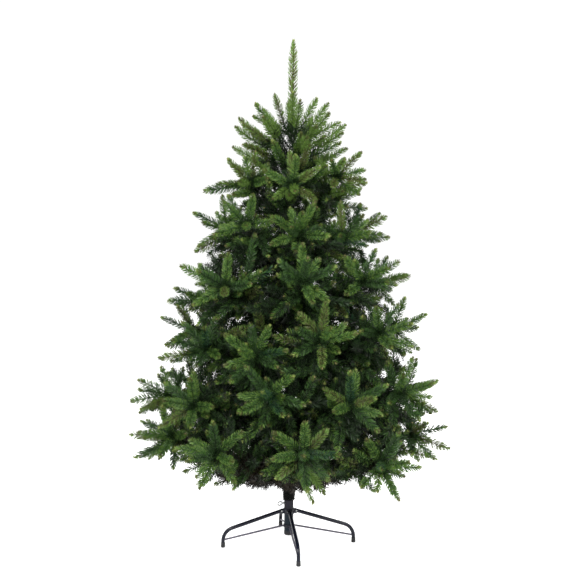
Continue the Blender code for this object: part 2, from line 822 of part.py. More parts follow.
def make_top(tip, top_tips, group, material):
    """The leader and the short tips round its foot, on the pole's end."""
    foot, end = axis_point(TOP_FOOT_Z), axis_point(TOP_ROWS[-1].z + TOP_STEM_REACH)
    body = bar_between("foliage_top", foot, end, TOP_STEM_R, TOP_STEM_R, TOP_STEM_SIDES)
    pieces = new_collection("top_pieces")
    leader = (axis_point(LEADER_FOOT_Z), axis_point(TREE_HEIGHT))
    pieces.objects.link(set_along(tip, *leader, LEADER_R, LEADER_ROLL))
    for i, (root, point) in enumerate(top_tips):
        pieces.objects.link(set_along(tip, root, point, TOP_TIP_R, TOP_TIP_ROLL * i))
    join_mass(body, pieces, group, material)


def main():
    clear_scene()
    bpy.context.scene.unit_settings.system = "METRIC"
    tree = new_collection("christmas_tree")

    steel = principled("powder_coated_steel", (0.022, 0.026, 0.031), 0.42, 0.1)
    zinc = principled("zinc_plated_steel", (0.72, 0.72, 0.70), 0.3, 1.0)
    rubber = principled("moulded_rubber", (0.02, 0.02, 0.021), 0.75)
    pole_paint = principled("dark_painted_pole", (0.02, 0.03, 0.02), 0.5, 0.1)
    wrap = principled("wrapped_wire", (0.025, 0.05, 0.018), 0.8)
    foliage = principled("moulded_needles", (0.05, 0.11, 0.03), 0.6)

    stand = [
        place(meshed(make_stand_tube(), tree), tree, steel),
        place(meshed(make_collar(), tree), tree, steel),
        place(make_hub(tree), tree, steel),
        place(make_thumb_screw(tree), tree, zinc),
    ]
    for quarter, side in enumerate(("right", "back", "left", "front")):
        stand.append(place(make_leg(f"leg_{side}", quarter, tree), tree, steel))
        stand.append(place(meshed(make_foot_cap(f"foot_cap_{side}", quarter), tree), tree, rubber))
        stand.append(place(make_brace(f"brace_{side}", quarter), tree, steel))

    pole = place(meshed(make_pole(), tree), tree, pole_paint)
    lean_mesh(pole)
    for piece in (*stand, pole):
        smooth(piece)

    faces = star_faces()
    masses = plan_masses()
    top_tips = plan_top()
    grow_tips(masses, faces, top_tips)
    sleeve = make_sleeve_template()
    for mass in masses:
        if mass.bough:
            make_bough(mass, tree, wrap)
        make_mass(mass, faces, sleeve, tree, foliage)
    make_top(make_tip_template(), top_tips, tree, foliage)


main()
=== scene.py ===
"""Dresses an artificial Christmas tree on a folding steel stand.

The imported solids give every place. The crown's growth rule is the source's own, written again here: rings
of boughs fork into twigs, and each twig ends in a star of moulded tips. Here each tip gets its needles one
by one, and finer shoots fill the crown on the way. Metres, +Z up, the front is -Y.
"""

import math
import random
from collections import namedtuple
from functools import lru_cache

import bmesh
import bpy
import numpy as np
from mathutils import Matrix, Vector


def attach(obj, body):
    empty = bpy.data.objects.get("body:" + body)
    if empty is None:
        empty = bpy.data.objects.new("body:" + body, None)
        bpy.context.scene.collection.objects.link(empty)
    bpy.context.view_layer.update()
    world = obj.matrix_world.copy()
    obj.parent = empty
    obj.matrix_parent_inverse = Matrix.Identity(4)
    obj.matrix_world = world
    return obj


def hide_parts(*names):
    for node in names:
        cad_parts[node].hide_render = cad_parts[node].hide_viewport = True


bl_info = {
    "name": "Artificial Christmas Tree",
    "version": (1, 0, 0),
    "blender": (4, 5, 0),
    "location": "3D View > Sidebar > Tree",
    "description": "Needles, wired boughs, pole and stand of an artificial tree",
    "category": "Object",
}

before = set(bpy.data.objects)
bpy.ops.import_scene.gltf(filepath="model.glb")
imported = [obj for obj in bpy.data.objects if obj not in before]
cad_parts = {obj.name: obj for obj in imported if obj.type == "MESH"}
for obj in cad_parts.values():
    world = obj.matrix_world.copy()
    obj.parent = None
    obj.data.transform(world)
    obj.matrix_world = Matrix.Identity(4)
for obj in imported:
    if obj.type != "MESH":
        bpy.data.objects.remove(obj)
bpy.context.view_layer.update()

MM = 0.001
GAP = 0.3 * MM
GOLDEN_TURN = math.pi * (3 - math.sqrt(5))

# The photograph's frame, and the camera that fits it
PHOTO_SIDE_PX = 570
FOCAL_PX = 848.4
SENSOR_MM = 36.0
CAMERA_AT = (-0.0136, -3.018, 0.9234)

# Names of the material slots
STEEL, ZINC, RUBBER = "powder_coated_steel", "zinc_plated_steel", "moulded_rubber"
POLE, WIRE, NEEDLES = "dark_painted_pole", "wrapped_wire", "moulded_needles"

# The stand, as the source has it
LEG_TURN = math.radians(7.5)
LEGS = ("right", "back", "left", "front")
FOOT_CIRCLE_R = 234 * MM
TUBE_R, TUBE_BORE_R = 16.5 * MM, 15.6 * MM
TUBE_FOOT_Z, TUBE_FLOOR_Z, TUBE_TOP_Z = 37 * MM, 51 * MM, 172 * MM
END_CAP_R = 17.1 * MM
HUB_R, HUB_LOW_Z, HUB_TOP_Z = 19.8 * MM, 112 * MM, 130 * MM
EAR_THICK, EAR_CLEARANCE = 2.0 * MM, 1.0 * MM
EAR_START, EAR_REACH = 16 * MM, 31 * MM
EAR_LOW_Z, EAR_TOP_Z = 113.5 * MM, 127.5 * MM
PIVOT_R, PIVOT_REACH, PIN_HEAD = 2.2 * MM, 26 * MM, 1.2 * MM
LEG_TUBE_R = 5.75 * MM
LEG_TOP, LEG_BEND_START, LEG_END_Z = (22 * MM, 123 * MM), (201 * MM, 67 * MM), 4 * MM
FOOT_CAP_H = 17 * MM
COLLAR_R, COLLAR_LOW_Z, COLLAR_TOP_Z = 19.4 * MM, 64 * MM, 75 * MM
BRACE_FOOT_Z, BRACE_SUNK = 27 * MM, (0.6 * MM, 0.8 * MM)
SCREW_Z, SCREW_AZIMUTH, SCREW_R, SCREW_REACH = 150 * MM, -66, 2.5 * MM, 12 * MM
SCREW_EYE_R, SCREW_WIRE_R, SCREW_EYE_TILT = 8.0 * MM, 2.0 * MM, math.radians(65)
THREAD_PITCH, THREAD_DEPTH = 1.2 * MM, 0.08
SCREW_CORE, BRACE_STEP, LEG_STEP = 0.94, 20 * MM, 12 * MM
# How far the edges of each part are rounded
RIM_ROUND, CAP_ROUND, SLEEVE_ROUND, FOOT_ROUND = 0.45 * MM, 3.2 * MM, 0.9 * MM, 0.6 * MM
RIVET_ROUND, EAR_ROUND, LEG_ROUND = 0.7 * MM, 0.4 * MM, 0.8 * MM
STEP_ROUND, PLATE_ROUND, HINGE_ROUND = 0.6 * MM, 0.8 * MM, 0.25 * MM
MOST_ROUNDED = 0.45
# The least angle in degrees at which an edge stays sharp
SHARP_FROM, SCREW_SHARP_FROM, WIRE_SHARP_FROM, STEM_SHARP_FROM = 38, 30, 50, 60
# The screw's nut with its flange, as distances from the tube and radii
NUT_RUN, NUT_R = (-0.3, 0.5, 0.6, 3.6, 4.0), (5.4, 5.4, 4.6, 4.6, 4.1)

# Sides of the round forms
TUBE_SIDES, PLATE_SIDES, BAND_SIDES, CAP_SIDES, LEG_SIDES, RIVET_SIDES = 72, 48, 40, 36, 28, 24
SCREW_SIDES, EYE_SIDES, WIRE_SIDES, PIN_SIDES = 16, 14, 12, 10
TWIG_SIDES, TIP_STEM_SIDES, SHOOT_SIDES = 6, 4, 3

# The crown's growth rule: the source's names, values and order of draws
TREE_HEIGHT = 1.800
POLE_LEAN = math.radians(0.5)
SEED = 21
POLE_FOOT_Z = TUBE_FLOOR_Z + GAP
POLE_STEPS = ((0.74, 14.9 * MM), (1.16, 11.5 * MM), (1.34, 8.0 * MM))
RING_PLATE_R, RING_PLATE_H = 24 * MM, 6 * MM
HINGE_NOSE, HINGE_THICK, HINGE_HALF_GAP = 5 * MM, 1.2 * MM, 7.6 * MM
PIN_R, PIN_HALF_LENGTH, PIN_OUT, PIN_STEP = 1.8 * MM, 9 * MM, 1 * MM, 6 * MM
TIP_SLIMNESS = 0.17
STAR_EDGE = 13 * MM
STAR_TIP_LENGTH = {"lead": 1.00, "near": 0.95, "side": 0.84}
TIP_JITTER, TIP_TURN, TIP_SHORTEST = 0.10, 0.42, 0.93
TRIES, GENTLE_TRIES = 12, 4
TIP_CLEARANCE = 2 * MM
LOWEST_TIP_Z = 0.215
HANGING = -0.68
STEM_R = 6 * MM
Ring = namedtuple("Ring", "name pole_z boughs phase star_r star_z lift tip sleeve bough_end")
RINGS = (
    Ring("ring1", 0.238, 5, -11.0, 0.435, 0.385, 9, 0.145, 0.076, 0.170),
    Ring("ring2", 0.405, 5, 7.0, 0.415, 0.545, 14, 0.145, 0.072, 0.170),
    Ring("ring3", 0.585, 5, 36.0, 0.350, 0.730, 18, 0.142, 0.068, 0.130),
    Ring("ring4", 0.775, 4, 27.0, 0.305, 0.905, 22, 0.140, 0.066, 0.0),
    Ring("ring5", 0.960, 4, 28.0, 0.235, 1.090, 30, 0.138, 0.056, 0.0),
    Ring("ring6", 1.125, 3, -28.0, 0.165, 1.255, 42, 0.136, 0.044, 0.0),
)
FORK_SHARE, FORK_REACH_SHARE, FORK_BEYOND_BOUGH = 0.25, 0.30, 0.03
STAR_JITTER_R, STAR_JITTER_Z, STAR_JITTER_AZIMUTH = 0.016, 0.038, 3.0
BOUGH_R = (6.5 * MM, 4.5 * MM)
LEADER_FOOT_Z = 1.400
TOP_TIP_R = 20 * MM
TOP_JITTER_AZIMUTH, TOP_JITTER_LIFT, TOP_SHORTEST = 8, 5, 0.9
TopRow = namedtuple("TopRow", "z count phase lift length")
TOP_ROWS = (
    TopRow(1.352, 6, 5.0, 14, 0.225),
    TopRow(1.372, 6, -22.0, 32, 0.255),
    TopRow(1.400, 5, 10.0, 48, 0.235),
    TopRow(1.425, 4, 8.0, 64, 0.200),
)

# Finer growth: side shoots on every twig, and inner shoots wherever the limbs leave room
SHOOT_SEED, NEEDLE_SEED = 5, 8
SIDE_SHOOT_STEP, SIDE_SHOOT_FROM, SIDE_SHOOT_SPAN, SIDE_SHOOT_DRIFT = 0.034, 0.14, 0.76, 0.6
SIDE_SHOOT_LENGTH, SIDE_SHOOT_SPREAD, SIDE_SHOOT_R = 0.74, (0.8, 1.05), 0.9
SIDE_SHOOT_LIFT, SIDE_SHOOT_TURN = (50, 6), 0.3
INNER_TRIES = (8000, 9000)
INNER_LENGTH = (0.085, 0.145)
INNER_LIFT = ((35, 88), (15, 60))
INNER_R, HANGING_R, OUTER_R = 26 * MM, 22 * MM, 31 * MM
INNER_CLEARANCE, LOW_CLEARANCE = 0.0325, 0.022
INNER_LOWEST_Z = 0.198
# The points of a tip, and of an inner shoot, that other shoots keep clear of
TIP_MARKS, INNER_MARKS = (0.3, 0.7, 1.0), (0.55, 1.0)
# How far out the crown is filled, as heights and radii
CROWN_REACH = (
    (0.195, 0.22, 0.245, 0.28, 0.325, 0.46, 0.73, 1.09, 1.26, 1.46),
    (0.05, 0.13, 0.21, 0.30, 0.43, 0.48, 0.40, 0.28, 0.20, 0.08),
)
# Single shoots, each given by its end: those that hang in front, those that stand out at the sides, given
# as x and z where the photograph shows them against the pole's plane, and those under the leader
HANGING_ENDS = ((0.079, -0.400, 0.245), (0.119, -0.400, 0.279), (0.272, -0.360, 0.269))
OUTER_ENDS = (
    (-0.309, 1.261), (-0.394, 0.991), (-0.337, 1.037), (-0.437, 0.870), (-0.362, 0.838), (-0.437, 0.703),
    (-0.469, 0.653), (-0.544, 0.589), (-0.572, 0.518), (-0.514, 0.471), (-0.537, 0.464), (-0.572, 0.383),
    (-0.544, 0.290), (-0.412, 0.308), (-0.380, 0.251), (-0.328, 0.207), (-0.266, 0.201), (0.282, 1.293),
    (0.285, 1.201), (0.353, 1.169), (0.363, 1.091), (0.399, 1.009), (0.438, 0.952), (0.331, 0.874),
    (0.445, 0.685), (0.506, 0.581), (0.496, 0.558), (0.534, 0.475), (0.575, 0.336), (0.506, 0.297),
    (0.431, 0.319), (0.420, 0.240), (0.314, 0.184),
)
CROWN_ENDS = (
    (-0.202, -0.030, 1.471), (-0.209, 0.020, 1.418), (-0.174, -0.060, 1.485), (-0.202, -0.080, 1.350),
    (0.198, -0.030, 1.462), (0.214, 0.030, 1.421), (0.186, 0.040, 1.517), (0.205, -0.090, 1.352),
    (0.043, -0.180, 1.429), (0.069, -0.180, 1.383), (-0.055, -0.190, 1.400), (-0.120, -0.150, 1.340),
    (0.135, -0.150, 1.335), (-0.020, 0.190, 1.380), (0.110, 0.160, 1.410), (-0.120, 0.150, 1.400),
    (-0.127, -0.050, 1.525), (-0.150, -0.100, 1.415), (-0.135, 0.050, 1.455), (0.135, -0.020, 1.455),
    (0.150, 0.060, 1.395), (-0.095, -0.160, 1.470), (0.100, -0.140, 1.465),
)
PLACED_SHOWN, OUTWARD_WORTH, CROWN_RISE = 0.15, 0.08, 0.55
# Where along a limb a placed shoot may start
LIMB_SHARES = np.linspace(0.1, 1.0, 10)

# Moulded needles: how far they stand out along a tip, as shares of its length and of its radius
TIP_REACH = ((0.0, 0.10, 0.35, 0.60, 0.80, 0.92, 1.0), (0.75, 0.95, 1.0, 0.93, 0.76, 0.50, 0.18))
LEADER_REACH = ((0.0, 0.10, 0.78, 0.90, 1.0), (0.85, 1.0, 1.0, 0.65, 0.15))
TIP_FULLNESS = 0.77
# How a mould sets its needles: from whorl to whorl, in rows round the tip, every other row a share further
# on, and how far they lean along the tip, as a share of a common needle's way
Mould = namedtuple("Mould", "pitch rows width stagger lean")
FEWEST_WHORLS, FIRST_WHORL, TIP_STAGGER = 4, 0.25, 0.5
WHORL_SCATTER, ROW_SCATTER, ROW_DRIFT = 0.13, 0.16, 0.05
NEEDLE_SWEEP = ((0.0, 0.6, 0.85, 1.0), (15 * MM, 17 * MM, 15 * MM, 11 * MM))
NEEDLE_SPREAD, WIDTH_SPREAD, END_BEND = (0.88, 1.10), (0.85, 1.15), 0.25
BLADE_SHOULDER, BLADE_ROOT_WIDTH, BLADE_BOW = 0.68, 0.7, 0.10
BLADE_TWIST, TWIST_SPREAD = math.radians(45), 0.45
# Shares of a tip where its end needles and its last needles start, and up to which its root needles are
# darkened as painted shade
END_NEEDLES_FROM, LAST_NEEDLES_FROM, SHADED_BASE_NEEDLES_TO, BASE_SPREAD = 0.86, 0.965, 0.22, (0.7, 1.2)
TIP_SAG, TIP_WANDER = (-6 * MM, 10 * MM), 4 * MM
TIP_STEM_R = (1.7 * MM, 1.3 * MM, 0.8 * MM)
TOP_TIP_WIDTH = 1.30
LEADER_NEEDLE_R, LEADER_TOP_Z, LEADER_LEAN = 26 * MM, TREE_HEIGHT + 4 * MM, 1.6
BUD_CHANCE, BUD_R, BUD_LENGTH, BUD_SIDES = 0.3, 2.1 * MM, 9 * MM, 6
BUD_PROFILE = ((0.4, 0.0), (1.0, 0.3), (0.8, 0.65), (0.15, 1.0))
# From this share of the crown's reach, shoots have the full needles of a tip in sight
RIM_FROM = 0.72
# Under this height the shoots carry nothing but brown film
BROWN_UNDER_Z = 0.285

# Cut film needles, the fine dark ones on the wires
FEWEST_FILM_NEEDLES, FILM_SCATTER, FILM_SPREAD, FILM_END_WIDTH = 4, 0.9, (0.6, 1.1), 0.5
FILM_SWEEP, FILM_SWEEP_SPREAD = 0.55, 0.35
SHADE_BLACK_FILM_SHARE, INNER_FILM_SHARE, LOW_FILM_REACH = 0.25, 0.3, 1.15
PLACED_FILM_SHARE, PLACED_FILM_REACH, PLACED_FILM_END = 0.45, 20 * MM, 0.6
LOW_FILM = ("brown_film", 1.7)
# Film that widens above the wound band at the pole's foot
SKIRT_Z, SKIRT_REACH, SKIRT_SHARE = (0.174, 0.240), (2 * MM, 75 * MM), 9.0
FUZZ_FROM_Z, FUZZ_REACH = 0.152, 26 * MM

# Twisted wire: two strands wound with film
WIRE_LOBES, WIRE_RELIEF, WIRE_STEP = 2, 0.16, 3.5 * MM
TWIG_STEP, TWIG_END, STEM_STEP = 9 * MM, 0.6, 20 * MM
SHOOT_WIRE_R = (2.0 * MM, 1.6 * MM, 0.8 * MM)

# The wound band at the pole's foot, and the end of the wire that ties it
BAND_LOW_Z, BAND_R, BAND_TURN, BAND_RELIEF, BAND_GLOSS = 161 * MM, 20.6 * MM, 6 * MM, 0.03, 0.08
TIE_WIRE_R = 0.9 * MM
TIE_WIRE = ((0.016, -0.008, 0.165), (0.024, -0.013, 0.1645), (0.031, -0.014, 0.1655), (0.038, -0.014, 0.1635))


# Settings


def linear(code):
    """An sRGB hex colour as linear RGB with full opacity."""
    parts = [int(code[i : i + 2], 16) / 255 for i in (1, 3, 5)]
    return (*(p / 12.92 if p <= 0.04045 else ((p + 0.055) / 1.055) ** 2.4 for p in parts), 1.0)


def paint(name, description, code):
    """A colour that the user can change, with an sRGB hex code as its default."""
    return bpy.props.FloatVectorProperty(
        name=name, description=description, default=linear(code), subtype="COLOR", size=4, min=0.0, max=1.0
    )


def length(name, description, default):
    """A length that the user can change."""
    return bpy.props.FloatProperty(name=name, description=description, default=default, min=0, unit="LENGTH")


def amount(name, description, default):
    """A plain number that the user can change."""
    return bpy.props.FloatProperty(name=name, description=description, default=default, min=0)


def whole_number(name, description, default):
    """A count that the user can change."""
    return bpy.props.IntProperty(name=name, description=description, default=default, min=1)


class StandSettings(bpy.types.PropertyGroup):
    leg_radius: length("Leg radius", "Half the width of a leg's tube", 6.5 * MM)
    foot_radius: length("Foot radius", "Half the width of a rubber foot", 7.7 * MM)
    brace_radius: length("Brace radius", "Half the width of a brace's wire", 3.1 * MM)
    leg_paint: paint("Leg paint", "Powder coat on the legs and hub", "#0b0e1b")
    tube_paint: paint("Tube paint", "Powder coat on the upright tube", "#131d26")
    sleeve_paint: paint("Sleeve paint", "Coarse coat on the tube's upper end", "#1e1c24")
    brace_paint: paint("Brace paint", "Coat on the braces' wire", "#45414f")
    zinc: paint("Zinc", "Plating on the screw and rivets", "#8f9190")
    rubber: paint("Rubber", "Feet and end cap", "#161719")


class PoleSettings(bpy.types.PropertyGroup):
    hinge_cheek: length("Hinge cheek", "Half the height of a hinge's cheeks", 7 * MM)
    pole_paint: paint("Pole paint", "Dark paint on the pole and hinge plates", "#1a2118")
    band_dark: paint("Band dark", "Film wound round the pole's foot", "#060705")
    band_light: paint("Band light", "Paler edges of that film", "#0c0e0a")


class LimbSettings(bpy.types.PropertyGroup):
    twist_pitch: length("Twist pitch", "Length of one turn of the twisted wire", 17 * MM)
    twig_radius: length("Twig radius", "Half the width of a twig where it leaves the fork", 3.4 * MM)
    film_dark: paint("Wound film dark", "Film wound into the wire", "#141c10")
    film_light: paint("Wound film light", "Paler edges of that film", "#29351c")


class CrownSettings(bpy.types.PropertyGroup):
    whorl_pitch: length("Whorl pitch", "Distance from one whorl of moulded needles to the next", 8.5 * MM)
    needle_rows: whole_number("Needle rows", "Rows of moulded needles round a tip", 12)
    needle_width: length("Needle width", "Width of a moulded needle", 2.9 * MM)
    rim_rows: whole_number("Rim rows", "Rows of needles round a shoot at the crown's rim", 8)
    rim_width: length("Rim needle width", "Width of a needle on the leader and at the rim", 3.1 * MM)
    leader_pitch: length("Leader whorl pitch", "Distance from whorl to whorl on the leader", 9.0 * MM)
    leader_rows: whole_number("Leader rows", "Rows of moulded needles round the leader", 10)
    inner_pitch: length("Inner whorl pitch", "Distance from whorl to whorl on an inner shoot", 10.5 * MM)
    inner_rows: whole_number("Inner rows", "Rows of moulded needles round an inner shoot", 5)
    inner_width: length("Inner needle width", "Width of an inner shoot's needle", 4.4 * MM)
    film_per_metre: amount("Film needles per metre", "Cut needles along a wire", 1500.0)
    film_width: length("Film needle width", "Width of a cut needle", 2.6 * MM)
    film_reach: length("Film reach", "How far cut needles stand out of a wire", 36 * MM)
    inner_film_reach: length("Inner film reach", "How far they stand out of an inner shoot", 24 * MM)
    # Shade is a painted shade: the darkest green, for shoots deep in the crown and for the tip stems
    shade: paint("Shade", "Darkest moulded green, deep in the crown", "#162412")
    deep: paint("Deep", "Dark moulded green", "#223719")
    leaf: paint("Leaf", "Middle moulded green", "#314d1f")
    fresh: paint("Fresh", "Pale moulded green of needle ends", "#516b2d")
    olive: paint("Olive", "Brownish moulded green", "#474c27")
    blue: paint("Blue", "Bluish moulded green", "#1d3823")
    straw: paint("Straw", "Yellowish green at the very ends of tips", "#707c40")
    bud: paint("Bud", "Scales of the small buds", "#726a42")
    # Dark film is the film's own dark green, darkened further as painted shade; black film is painted shade,
    # near-black needles for the crown's inside
    dark_film: paint("Dark film", "Most of the cut needles", "#10190c")
    black_film: paint("Black film", "Cut needles deep in the crown", "#090c07")
    brown_film: paint("Brown film", "Cut needles at the pole's foot", "#211b12")


class StageSettings(bpy.types.PropertyGroup):
    floor_side: length("Floor side", "Side of the square floor", 60.0)
    room_light: amount("Room light", "Strength of the even white light all round", 1.06)
    floor_glow: amount("Floor glow", "Light that comes up through the floor", 0.5)


# Materials


def add_node(tree, kind, settings=None, links=None):
    """Adds one node to a tree, with its settings, and links inputs by name to (node, output) pairs."""
    node = tree.nodes.new(kind)
    for key, value in (settings or {}).items():
        if key in node.inputs:
            node.inputs[key].default_value = value
        else:
            setattr(node, key, value)
    for key, (source, output) in (links or {}).items():
        tree.links.new(source.outputs[output], node.inputs[key])
    return node


def add_noise(tree, spot_mm, detail):
    """Noise that stays with the piece, in spots of a size in millimetres."""
    place = tree.nodes.get("Texture Coordinate") or add_node(tree, "ShaderNodeTexCoord")
    settings = {"Scale": 1 / (spot_mm * MM), "Detail": detail}
    return add_node(tree, "ShaderNodeTexNoise", settings, {"Vector": (place, "Object")})


def new_material(name, colour, roughness, ior=None, gloss=None, metallic=0.0, relief=None, wear=None):
    """A material with one shader in plain values.

    Relief gives its bumps as (spot, depth, detail), and wear gives roughness that wanders between two
    values as (spot, least, most). Spots and depth are in millimetres."""
    material = bpy.data.materials.new(name)
    material.use_nodes = True
    tree = material.node_tree
    shader = tree.nodes["Principled BSDF"]
    values = {"Base Color": colour, "Roughness": roughness, "Metallic": metallic}
    values |= {"IOR": ior, "Specular IOR Level": gloss}
    for key, value in values.items():
        if value is not None:
            shader.inputs[key].default_value = value
    if relief:
        spot, depth, detail = relief
        strength = {"Strength": 0.5, "Distance": depth * MM}
        bump = add_node(tree, "ShaderNodeBump", strength, {"Height": (add_noise(tree, spot, detail), "Fac")})
        tree.links.new(bump.outputs["Normal"], shader.inputs["Normal"])
    if wear:
        spot, least, most = wear
        # Nearly all of the noise lies between 0.3 and 0.7
        spread = {"From Min": 0.3, "From Max": 0.7, "To Min": least, "To Max": most}
        dull = add_node(tree, "ShaderNodeMapRange", spread, {"Value": (add_noise(tree, spot, 3.0), "Fac")})
        tree.links.new(dull.outputs["Result"], shader.inputs["Roughness"])
    return material


# A needle's soft satin gives back less of the room than its clear plastic would
NEEDLE_GLOSS, FILM_GLOSS = 0.25, 0.14
GREENS = ("shade", "deep", "leaf", "fresh", "olive", "blue", "straw")
FILMS = ("dark_film", "black_film", "brown_film")
# The tints that a tip may have, with their chances
TIP_CASTS = {"leaf": 0.50, "deep": 0.35, "olive": 0.10, "blue": 0.05}
# Inner and rim shoots get the darker greens, a painted shade for the crown's shaded inside
SHADED_INNER_CASTS = {"deep": 0.34, "shade": 0.54, "blue": 0.05, "olive": 0.07}
SHADED_RIM_CASTS = {"leaf": 0.14, "deep": 0.50, "shade": 0.28, "olive": 0.08}
OUTER_CASTS = {"leaf": 0.30, "deep": 0.40, "olive": 0.30}
# The top ring and the short tips under the leader take paler greens, a painted light where the light falls
# from above
LIT_HIGH_CASTS = {"leaf": 0.45, "olive": 0.25, "fresh": 0.30}
LIT_TOP_CASTS = {"leaf": 0.10, "olive": 0.20, "fresh": 0.70}
LEADER_CAST, PALE_CAST = {"olive": 1.0}, {"fresh": 1.0}
# The end of each needle is a shade lighter than its blade, and so are some whole needles
BLADE_ENDS = {"shade": "deep", "deep": "leaf", "blue": "leaf"}
SPECKLE, PALE_END_CHANCE, STRAW_CHANCE = 0.18, 0.6, 0.45


def plastic_in_tints(kind, settings, tints, roughness, ior, gloss, wear):
    """One material for each tint that a plastic comes in."""
    return [
        new_material(f"{kind}_{tint}", getattr(settings, tint), roughness, ior, gloss, wear=wear)
        for tint in tints
    ]


def moulded_polyethylene(settings):
    """Injection-moulded polyethylene: a soft satin skin, so its highlights are wide and pale.

    The tips come out of their mould in mixed greens, dealt out one plain colour to a part of a needle.
    The darker greens deep in the crown and at the tips' roots are painted shade, and the paler ones at the
    top painted light."""
    wear = (4.0, 0.42, 0.56)
    return plastic_in_tints("moulded_polyethylene", settings, GREENS, 0.48, 1.51, NEEDLE_GLOSS, wear)


def cut_vinyl(settings):
    """Vinyl film cut into needles: thin and flat. Its dark green is darkened further as painted shade, and a
    share of its needles are near black, painted shade for the crown's inside.
    """
    return plastic_in_tints("cut_vinyl", settings, FILMS, 0.40, 1.53, FILM_GLOSS, (6.0, 0.34, 0.50))


def coated_steel(name, colour, roughness, peel_mm, depth_mm, gloss=0.3):
    """Polyester powder baked on steel: a hard skin that flows out into a fine orange peel."""
    wear = (18.0, roughness - 0.06, roughness + 0.10)
    return new_material(name, colour, roughness, 1.5, gloss, relief=(peel_mm, depth_mm, 3.0), wear=wear)


def zinc_plate(colour):
    """Bright zinc plated on turned steel: a pale metal, a little cloudy from handling."""
    finish = {"metallic": 1.0, "relief": (0.6, 0.02, 2.0), "wear": (3.0, 0.22, 0.45)}
    return new_material("zinc_plated_steel", colour, 0.3, **finish)


def moulded_rubber(colour):
    """Rubber from a spark-eroded mould: matt, with a fine even grain."""
    finish = {"relief": (0.8, 0.1, 2.0), "wear": (9.0, 0.55, 0.72)}
    return new_material("moulded_rubber", colour, 0.62, 1.52, 0.35, **finish)


def bud_scales(colour):
    """Polyethylene moulded as a bud's dry scales: dull, and rough from one scale to the next."""
    return new_material("bud_scales", colour, 0.55, 1.5, 0.3, relief=(1.0, 0.2, 2.0))


def wound_film(name, dark, light, gloss=NEEDLE_GLOSS):
    """Vinyl film wound on wire: dull, with paler spots where its cut edges catch the light."""
    material = new_material(name, dark, 0.6, 1.53, gloss, relief=(1.5, 0.4, 2.0))
    tree = material.node_tree
    ramp = add_node(tree, "ShaderNodeValToRGB", links={"Fac": (add_noise(tree, 4.0, 2.0), "Fac")})
    first, last = ramp.color_ramp.elements
    first.position, first.color = 0.45, dark
    last.position, last.color = 0.65, light
    tree.links.new(ramp.outputs["Color"], tree.nodes["Principled BSDF"].inputs["Base Color"])
    return material


# Shapes as rows of corners


def unit(vector):
    return vector / np.linalg.norm(vector)


def cross_frame(way):
    """Two unit vectors square to a direction, the second as near to straight up as it goes."""
    helper = np.array((0.0, 0.0, 1.0)) if abs(way[2]) < 0.9 else np.array((0.0, 1.0, 0.0))
    across = unit(np.cross(way, helper))
    return across, np.cross(across, way)


def from_base(base, *steps_mm):
    """Points of a profile, each given in millimetres from one base point."""
    return np.array(base) + np.array(steps_mm) * MM


def rounded(profile, radius, steps=3):
    """A profile with its corners rounded, each over less than half of its sides."""
    corners = [np.array(point, float) for point in profile]
    made = [corners[0]]
    for before, at, after in zip(corners, corners[1:], corners[2:]):
        shorter = min(np.linalg.norm(at - before), np.linalg.norm(after - at))
        cut = min(radius, MOST_ROUNDED * shorter)
        first, last = at + unit(before - at) * cut, at + unit(after - at) * cut
        for share in np.linspace(0.0, 1.0, steps + 1):
            made.append(first * (1 - share) ** 2 + at * 2 * share * (1 - share) + last * share**2)
    return made + [corners[-1]]


def turned(profile, steps):
    """Rows round the Z axis, one for each (radius, height) of a profile."""
    angle = np.arange(steps) * math.tau / steps
    radii, heights = np.array(profile, float).T
    across, ahead = np.outer(radii, np.cos(angle)), np.outer(radii, np.sin(angle))
    return np.stack([across, ahead, np.outer(heights, np.ones(steps))], axis=2)


def swept(line, radii, sides, relief=None):
    """Rows round a line. Relief gives the share to add to the radius, from a run and all angles."""
    line = np.array(line, float)
    along = np.gradient(line, axis=0)
    runs = np.concatenate([[0.0], np.cumsum(np.linalg.norm(np.diff(line, axis=0), axis=1))])
    angle = np.arange(sides) * math.tau / sides
    side = cross_frame(unit(along[0]))[0]
    rows = []
    for at, way, radius, run in zip(line, along, np.broadcast_to(radii, len(line)), runs):
        way = unit(way)
        side = unit(side - way * side.dot(way))
        grow = radius * (1.0 + (relief(run, angle) if relief else np.zeros(sides)))
        out = np.outer(np.cos(angle) * grow, side) + np.outer(np.sin(angle) * grow, np.cross(way, side))
        rows.append(at + out)
    return np.array(rows)


def straight(start, end, step):
    """Points on the line from start to end, about a step apart."""
    start, end = np.array(start, float), np.array(end, float)
    count = max(2, int(np.linalg.norm(end - start) / step) + 1)
    return start + (end - start) * np.linspace(0.0, 1.0, count)[:, None]


def plate_rows(outline, thick, edge):
    """Rows through a flat plate with softened edges. Its outline is in X and Z, and its thickness in Y."""
    outline = np.array(outline, float)
    middle = outline.mean(axis=0)
    shrink = 1 - edge / np.abs(outline - middle).max()
    rows = []
    for y, share in ((-0.5, shrink), (edge / thick - 0.5, 1.0), (0.5 - edge / thick, 1.0), (0.5, shrink)):
        ring = middle + (outline - middle) * share
        rows.append(np.column_stack([ring[:, 0], np.full(len(ring), y * thick), ring[:, 1]]))
    return np.array(rows)


def placed(rows, matrix):
    """Rows carried by a matrix."""
    grid = np.array(matrix)
    return rows @ grid[:3, :3].T + grid[:3, 3]


def leaning(rows):
    """Rows that follow the pole's lean."""
    rows = rows.copy()
    rows[..., 0] += np.maximum(0.0, rows[..., 2] - TUBE_TOP_Z) * math.tan(POLE_LEAN)
    return rows


